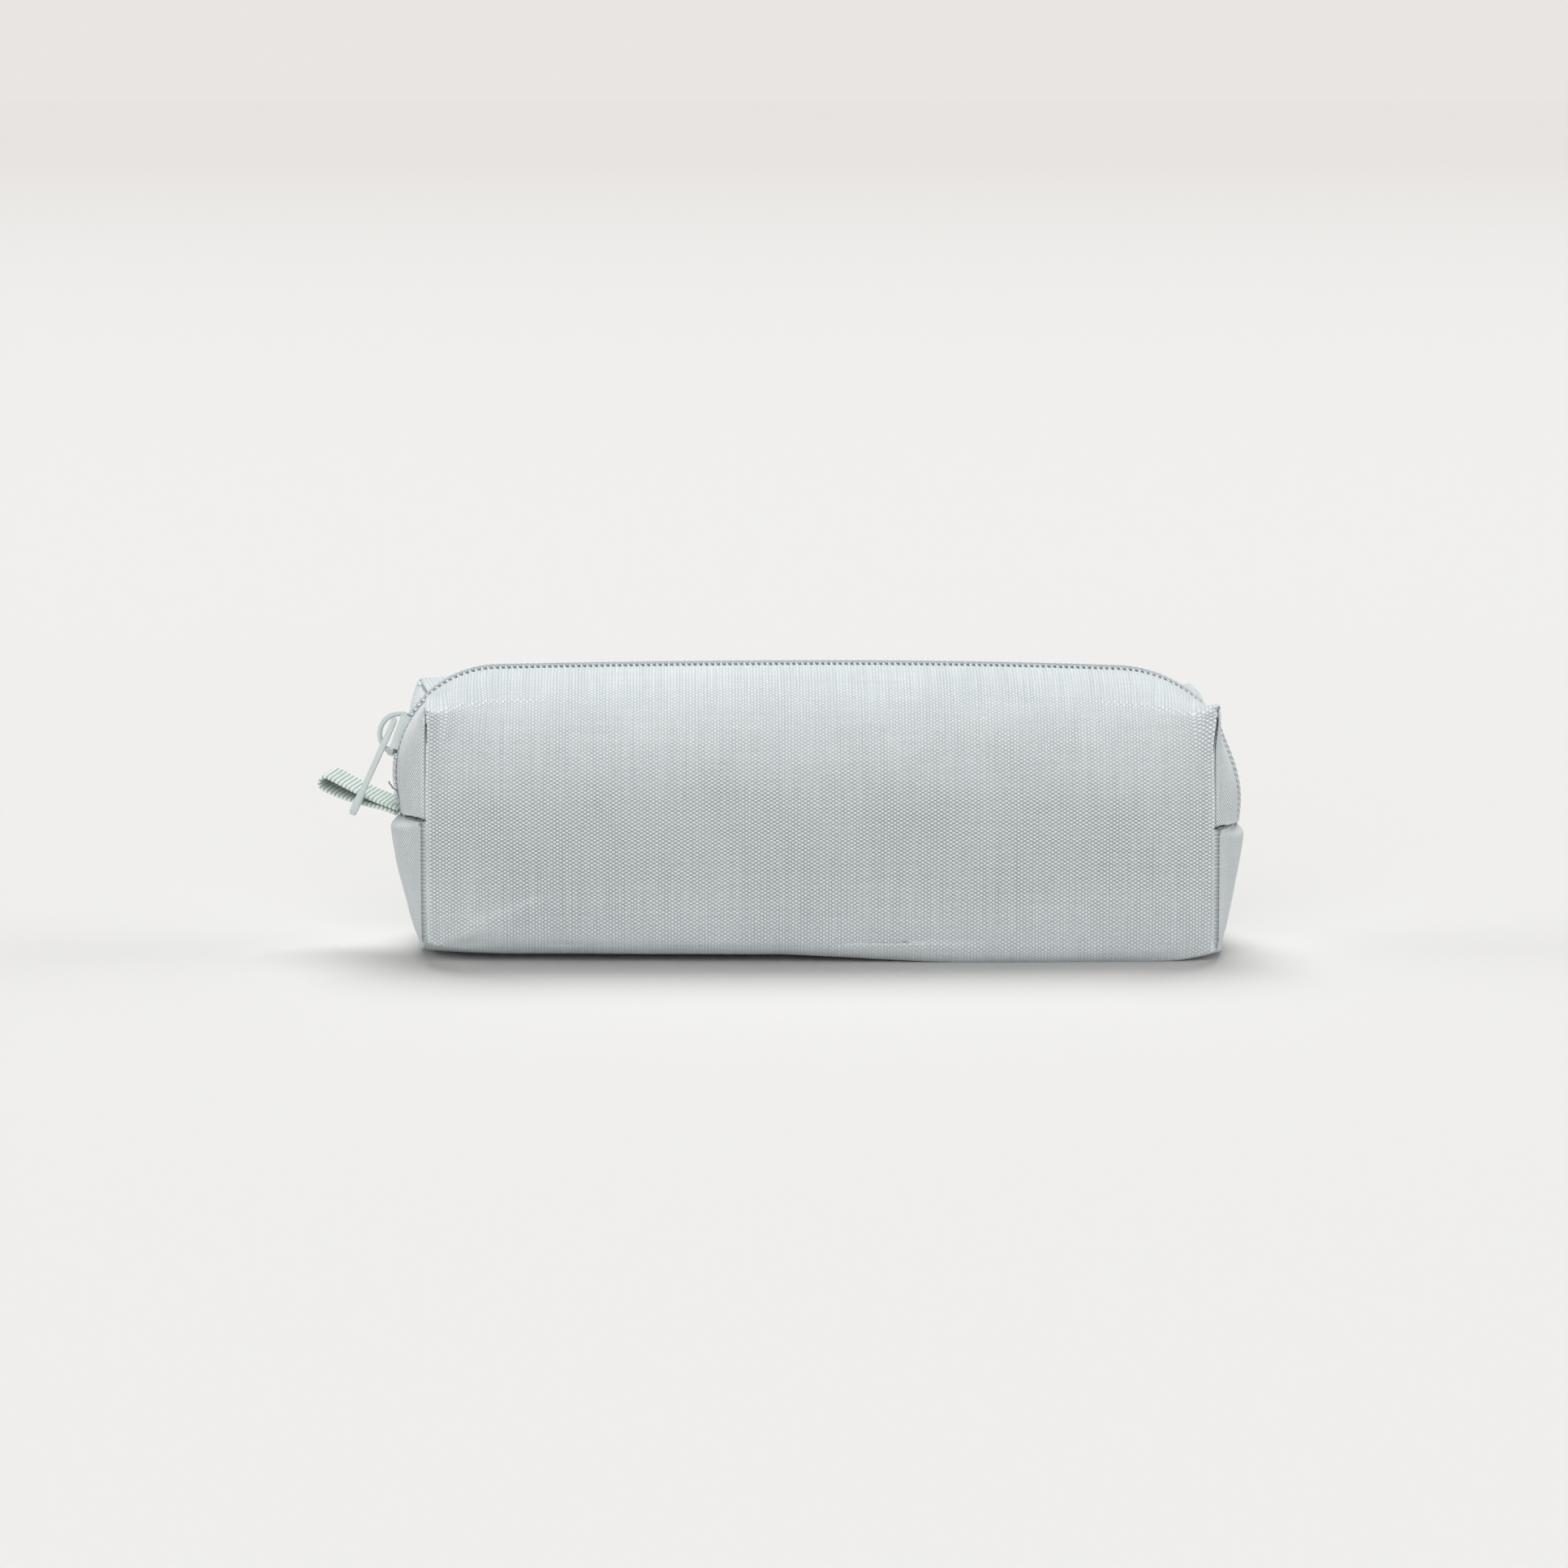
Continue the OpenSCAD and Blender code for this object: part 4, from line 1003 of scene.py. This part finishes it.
def rounded_copy(node, name, width):
    """A piece cast in the node's shape, with its edges rounded."""
    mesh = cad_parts[node].data.copy()
    mesh.name = name
    b = bmesh.new()
    b.from_mesh(mesh)
    bmesh.ops.remove_doubles(b, verts=b.verts, dist=2e-6)
    bmesh.ops.dissolve_limit(b, angle_limit=math.radians(1.0), verts=b.verts, edges=b.edges)
    sharp = [e for e in b.edges if len(e.link_faces) == 2 and e.calc_face_angle(0) > math.radians(28)]
    bmesh.ops.bevel(b, geom=sharp, offset=width * MM, segments=3, affect="EDGES", profile=0.5,
                    clamp_overlap=True)
    b.to_mesh(mesh)
    b.free()
    mesh.polygons.foreach_set("use_smooth", [True] * len(mesh.polygons))
    mesh.set_sharp_from_angle(angle=math.radians(40))
    mesh.update()
    return add_object(name, mesh)


casting = rounded_copy("slider_body", "slider_casting", 0.16)
paint(casting, slider_paint, "slider", ("slider_body",))
blade = rounded_copy("pull_tab", "pull_blade", 0.2)
paint(blade, slider_paint, "pull", ("pull_tab",))


# The webbing loop
rib_pitch, webbing_yarn = 1.06, 0.42


def grosgrain(name, dark, light):
    n = Net(name)
    u, v = n.uv()
    place = n.place()
    turned = n.math("MULTIPLY", n.math("FLOOR", n.math("DIVIDE", u, rib_pitch / 2)), math.pi)
    yarn = n.math("COSINE", n.math("ADD", n.math("MULTIPLY", v, 2 * math.pi / webbing_yarn), turned))
    # The valleys between the ribs go towards the dark colour: painted shade of the ribs' relief.
    share = n.math("ADD", n.step(n.cosine(u, rib_pitch), -0.9, 0.1, 0.0, 0.8), n.math("MULTIPLY", yarn, 0.16))
    share = n.math("ADD", share, n.swing(n.noise(place, 900, 3), 0.35), clamp=True)
    height = n.math("ADD", n.math("MULTIPLY", yarn, 0.5), n.noise(place, 3000, 2))
    return n.finish(n.mixed(share, dark, light), 0.78, n.bump(height, 0.05 * MM), 0.25, Sheen_Weight=0.15)


webbing_paint = grosgrain("mint_grosgrain", (0.36, 0.43, 0.38), (0.86, 0.95, 0.905))
root_r = (webbing_t + leg_gap) / cosd(loop_tilt)
root_rise = webbing_w / 2 * sind(loop_roll)
root_x = zip_at(root_gap + 2 * root_r + root_rise, coil_h)[0] - root_gap - root_r
root_z = left_seam_h + root_gap + root_r + root_rise
low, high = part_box("webbing_loop")
assert low[2] < root_z * MM < high[2], "the loop's root is not where the CAD has its webbing"


def loop_world(x, y, z):
    """The loop's own place (x, y, z), with its legs along -x, as a place in the row frame."""
    m = (Matrix.Translation((root_x, loop_side, root_z)) @ Matrix.Rotation(math.radians(loop_roll), 4, "X")
         @ Matrix.Rotation(math.radians(loop_tilt), 4, "Y") @ Matrix.Rotation(math.radians(-loop_yaw), 4, "Z"))
    return np.array(m @ Vector((x, y, z)))


def loop_path():
    """The middle of the folded webbing in its own (x, z), from the root, around the bend and back."""
    bend_r = webbing_t + (leg_gap + loop_gap) / 2
    run_x, half_t, hidden = loop_l - bend_r, webbing_t / 2, 3.2

    def leg(x, out):
        t = min(1, max(0, -x / run_x))
        gap = leg_gap + loop_gap * sind(90 * t) ** 1.5
        return -loop_sag * sind(180 * t) + out * (gap / 2 + half_t)

    r = bend_r - half_t
    path = [(x, leg(x, 1)) for x in np.linspace(hidden, -run_x, 150)]
    path += [(-run_x - r * sind(a), r * cosd(a)) for a in np.linspace(6, 174, 46)]
    return np.array(path + [(x, leg(x, -1)) for x in np.linspace(-run_x, hidden, 150)])


def webbing_loop():
    half_t = webbing_t / 2
    path = loop_path()
    t = np.gradient(path, axis=0)
    t /= np.linalg.norm(t, axis=1)[:, None]
    run = arc_lengths([path])[0]
    even = np.linspace(0, run[-1], 340)
    px, pz = np.interp(even, run, path[:, 0]), np.interp(even, run, path[:, 1])
    tx, tz = np.interp(even, run, t[:, 0]), np.interp(even, run, t[:, 1])
    ys = [-1, -0.985, -0.94, -0.85] + list(np.linspace(-0.7, 0.7, 15)) + [0.85, 0.94, 0.985, 1]
    around = [(1, y) for y in ys] + [(-1, y) for y in ys[::-1]]
    points, uvs = [], []
    for k, s in enumerate(even):
        rib = 0.5 + 0.5 * math.cos(2 * math.pi * s / rib_pitch)
        rise = 0.17 * (rib ** 0.6) - 0.09
        n = np.array((-tz[k], tx[k]))
        for face, y in around:
            edge = max(0, 1 - abs(y) ** 14) ** 0.5
            w = webbing_w / 2 - 0.10 + 0.10 * rib + 0.08 * wave(s, y, 3, 5, 2.7)
            thick = (half_t - 0.06 + rise * (0.4 + 0.6 * edge)) * max(edge, 0.34)
            off = face * thick + 0.05 * wave(s, y * 6, 1, 6, 5.5)
            points.append(loop_world(px[k] + n[0] * off, y * w, pz[k] + n[1] * off))
            uvs.append((s, y * webbing_w / 2))
    obj = make_object("grosgrain_loop", points, ring_faces(len(even), len(around)), uvs)
    turn_outward(obj)
    paint(obj, webbing_paint, None)
    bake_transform(obj)
    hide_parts("webbing_loop")


webbing_loop()
# The thread end is coloured dark: painted shade, as it lies in shade by the end seam.
thread_end_shade_paint = nylon("loose_thread_shaded", (0.26, 0.29, 0.28), 0.7)
loose_route = [(-103.4, -6.2, 38.4), (-105.2, -6.6, 40.2), (-106.4, -6.9, 41.4), (-107.2, -7.2, 42.9)]


def thread_end(name, route, thick):
    """A short end of sewing thread left where the end seam was closed."""
    line = []
    for k in range(len(route) - 1):
        a, b = np.array(route[k], float), np.array(route[k + 1], float)
        for t in np.linspace(0, 1, 12)[:-1]:
            line.append(mix(a, b, t) + np.array((0.12, 0.1, 0)) * math.sin(5 * t + k))
    return paint(tube_mesh(name, line, thick, 6), thread_end_shade_paint, "pouch")


thread_end("thread_end", loose_route, 0.19)


# The bindings inside
def folded_binding(name, node, line, out, up):
    """A tape folded over a seam allowance: line is its middle, out points along its width and up across it."""
    points, uvs = [], []
    turn = np.linspace(0, 2 * math.pi, 29)[:-1]
    run = 0
    for k, p in enumerate(line):
        run += 0 if k == 0 else float(np.linalg.norm(line[k] - line[k - 1]))
        swell = 1 - 0.10 * (0.5 + 0.5 * math.cos(2 * math.pi * run / 2.6))
        for a in turn:
            c, n = math.cos(a), math.sin(a)
            w = abs(c) ** 0.5 * (1 if c > 0 else -1) * binding_w / 2
            h = abs(n) ** 0.7 * (1 if n > 0 else -1) * binding_t / 2 * (swell if w > 0 else 1)
            wob = 0.12 * wave(run, a, len(name), 8, 3.3)
            points.append(p + out * w + up * (h * 0.92 + wob))
            uvs.append((run, a * 2.6))
    obj = make_object(name, points, ring_faces(len(line), len(turn)), uvs)
    turn_outward(obj)
    return paint(obj, binding_paint, "pouch", (node,))


def seam_line(end):
    """The middle of the end's binding, which hangs under the cross seam inside."""
    line = []
    for v in np.linspace(-3, 3, 61):
        j = abs(v)
        p = strip_point(end, upper_rows, j, -1 if v < 0 else 1, lining_in)
        x = p[0] - end * binding_w / 2 + end * 0.5 * ease(3 - j)
        line.append(np.array((x, p[1] if j > 0.01 else 0, p[2] - 0.2 - binding_t / 2)))
    return [p for k, p in enumerate(line) if k == 0 or p[1] > line[k - 1][1] + 0.05]


for end, label in ((-1, "left"), (1, "right")):
    line, out, up = seam_line(end), np.array((end, 0, 0)), np.array((0, 0, 1.0))
    folded_binding(f"end_binding_{label}", f"{label}_end_binding", line, out, up)
    for side, face in ((-1, "front"), (1, "back")):
        low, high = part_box(f"{face}_{label}_corner_binding")
        middle = np.array((low[0] + high[0], low[1] + high[1])) / 2 / MM
        inward = np.array((-end, -side, 0)) / math.sqrt(2)
        line = [np.array((middle[0], middle[1], z)) for z in np.linspace(low[2] / MM, high[2] / MM, 50)]
        up = np.cross(inward, (0, 0, 1))
        folded_binding(f"corner_binding_{face}_{label}", f"{face}_{label}_corner_binding", line, -inward, up)


# The stage, the light and the camera
def stage():
    half = 40
    corners = [(-half, -half, 0), (half, -half, 0), (half, half, 0), (-half, half, 0)]
    mesh = bpy.data.meshes.new("floor")
    mesh.from_pydata(corners, [], [(0, 1, 2, 3)])
    floor = add_object("floor", mesh)
    n = Net("studio_floor")
    depth = n.split(n.place())[1]
    # The floor's colour steps are painted light: a touch darker towards the camera, and darker and warmer far
    # behind, where the studio light falls off.
    col = n.mixed(n.step(depth, -0.25, 1.2), (0.708, 0.702, 0.687), (0.716, 0.71, 0.696))
    col = n.mixed(n.step(depth, 1, 14), col, (0.658, 0.634, 0.616))
    n.bsdf.inputs["Specular IOR Level"].default_value = 0.0
    n.put(n.bsdf.inputs["Base Color"], col)
    n.bsdf.inputs["Roughness"].default_value = 1.0
    mesh.materials.append(n.material)


stage()
scene = bpy.context.scene
scene.view_settings.view_transform = "Standard"
world = bpy.data.worlds.new("studio")
world.use_nodes = True
scene.world = world
tree = world.node_tree
tree.nodes.clear()
kinds = ("OutputWorld", "Background", "Background", "MixShader", "LightPath")
out, light, seen, pick, path = (tree.nodes.new("ShaderNode" + kind) for kind in kinds)
light.inputs["Color"].default_value = (1, 1, 1, 1)
light.inputs["Strength"].default_value = 0.02
seen.inputs["Color"].default_value = (0.815, 0.786, 0.764, 1)
seen.inputs["Strength"].default_value = 1.0
tree.links.new(path.outputs["Is Camera Ray"], pick.inputs[0])
tree.links.new(light.outputs[0], pick.inputs[1])
tree.links.new(seen.outputs[0], pick.inputs[2])
tree.links.new(pick.outputs[0], out.inputs[0])


def sun(name, azimuth, elevation, level, spread):
    """A soft lamp without end: level is what it adds to a white floor."""
    data = bpy.data.lights.new(name, "SUN")
    data.energy = level * math.pi / sind(elevation)
    data.angle = math.radians(spread)
    a, e = math.radians(azimuth), math.radians(elevation)
    toward = Vector((math.sin(a) * math.cos(e), -math.cos(a) * math.cos(e), math.sin(e)))
    obj = add_object(name, data)
    obj.rotation_mode = "QUATERNION"
    obj.rotation_quaternion = toward.to_track_quat("Z", "Y")


sun("key", 180, 60, 0.81, 42)
sun("fill", -5, 24, 0.215, 50)
sun("left_fill", -95, 8, 0.064, 50)
sun("right_fill", 95, 8, 0.074, 50)

photo_px, focal_px, centre_x_px, centre_y_px, sensor_w = 1932, 7365, 1007.7, 989.9, 36
yaw, tilt, away, aim_z = math.radians(1.3), math.radians(7.0), 1.5, 0.036
ahead = Vector((math.sin(yaw) * math.cos(tilt), math.cos(yaw) * math.cos(tilt), -math.sin(tilt)))
camera = add_object("camera", bpy.data.cameras.new("camera"))
camera.location = Vector((0, 0, aim_z)) - ahead * away
camera.rotation_mode = "QUATERNION"
camera.rotation_quaternion = ahead.to_track_quat("-Z", "Y")
camera.data.sensor_width = sensor_w
camera.data.lens = sensor_w * focal_px / photo_px
camera.data.shift_x = -(centre_x_px - photo_px / 2) / photo_px
camera.data.shift_y = (centre_y_px - photo_px / 2) / photo_px
camera.data.clip_start, camera.data.clip_end = 0.05, 200
scene.camera = camera
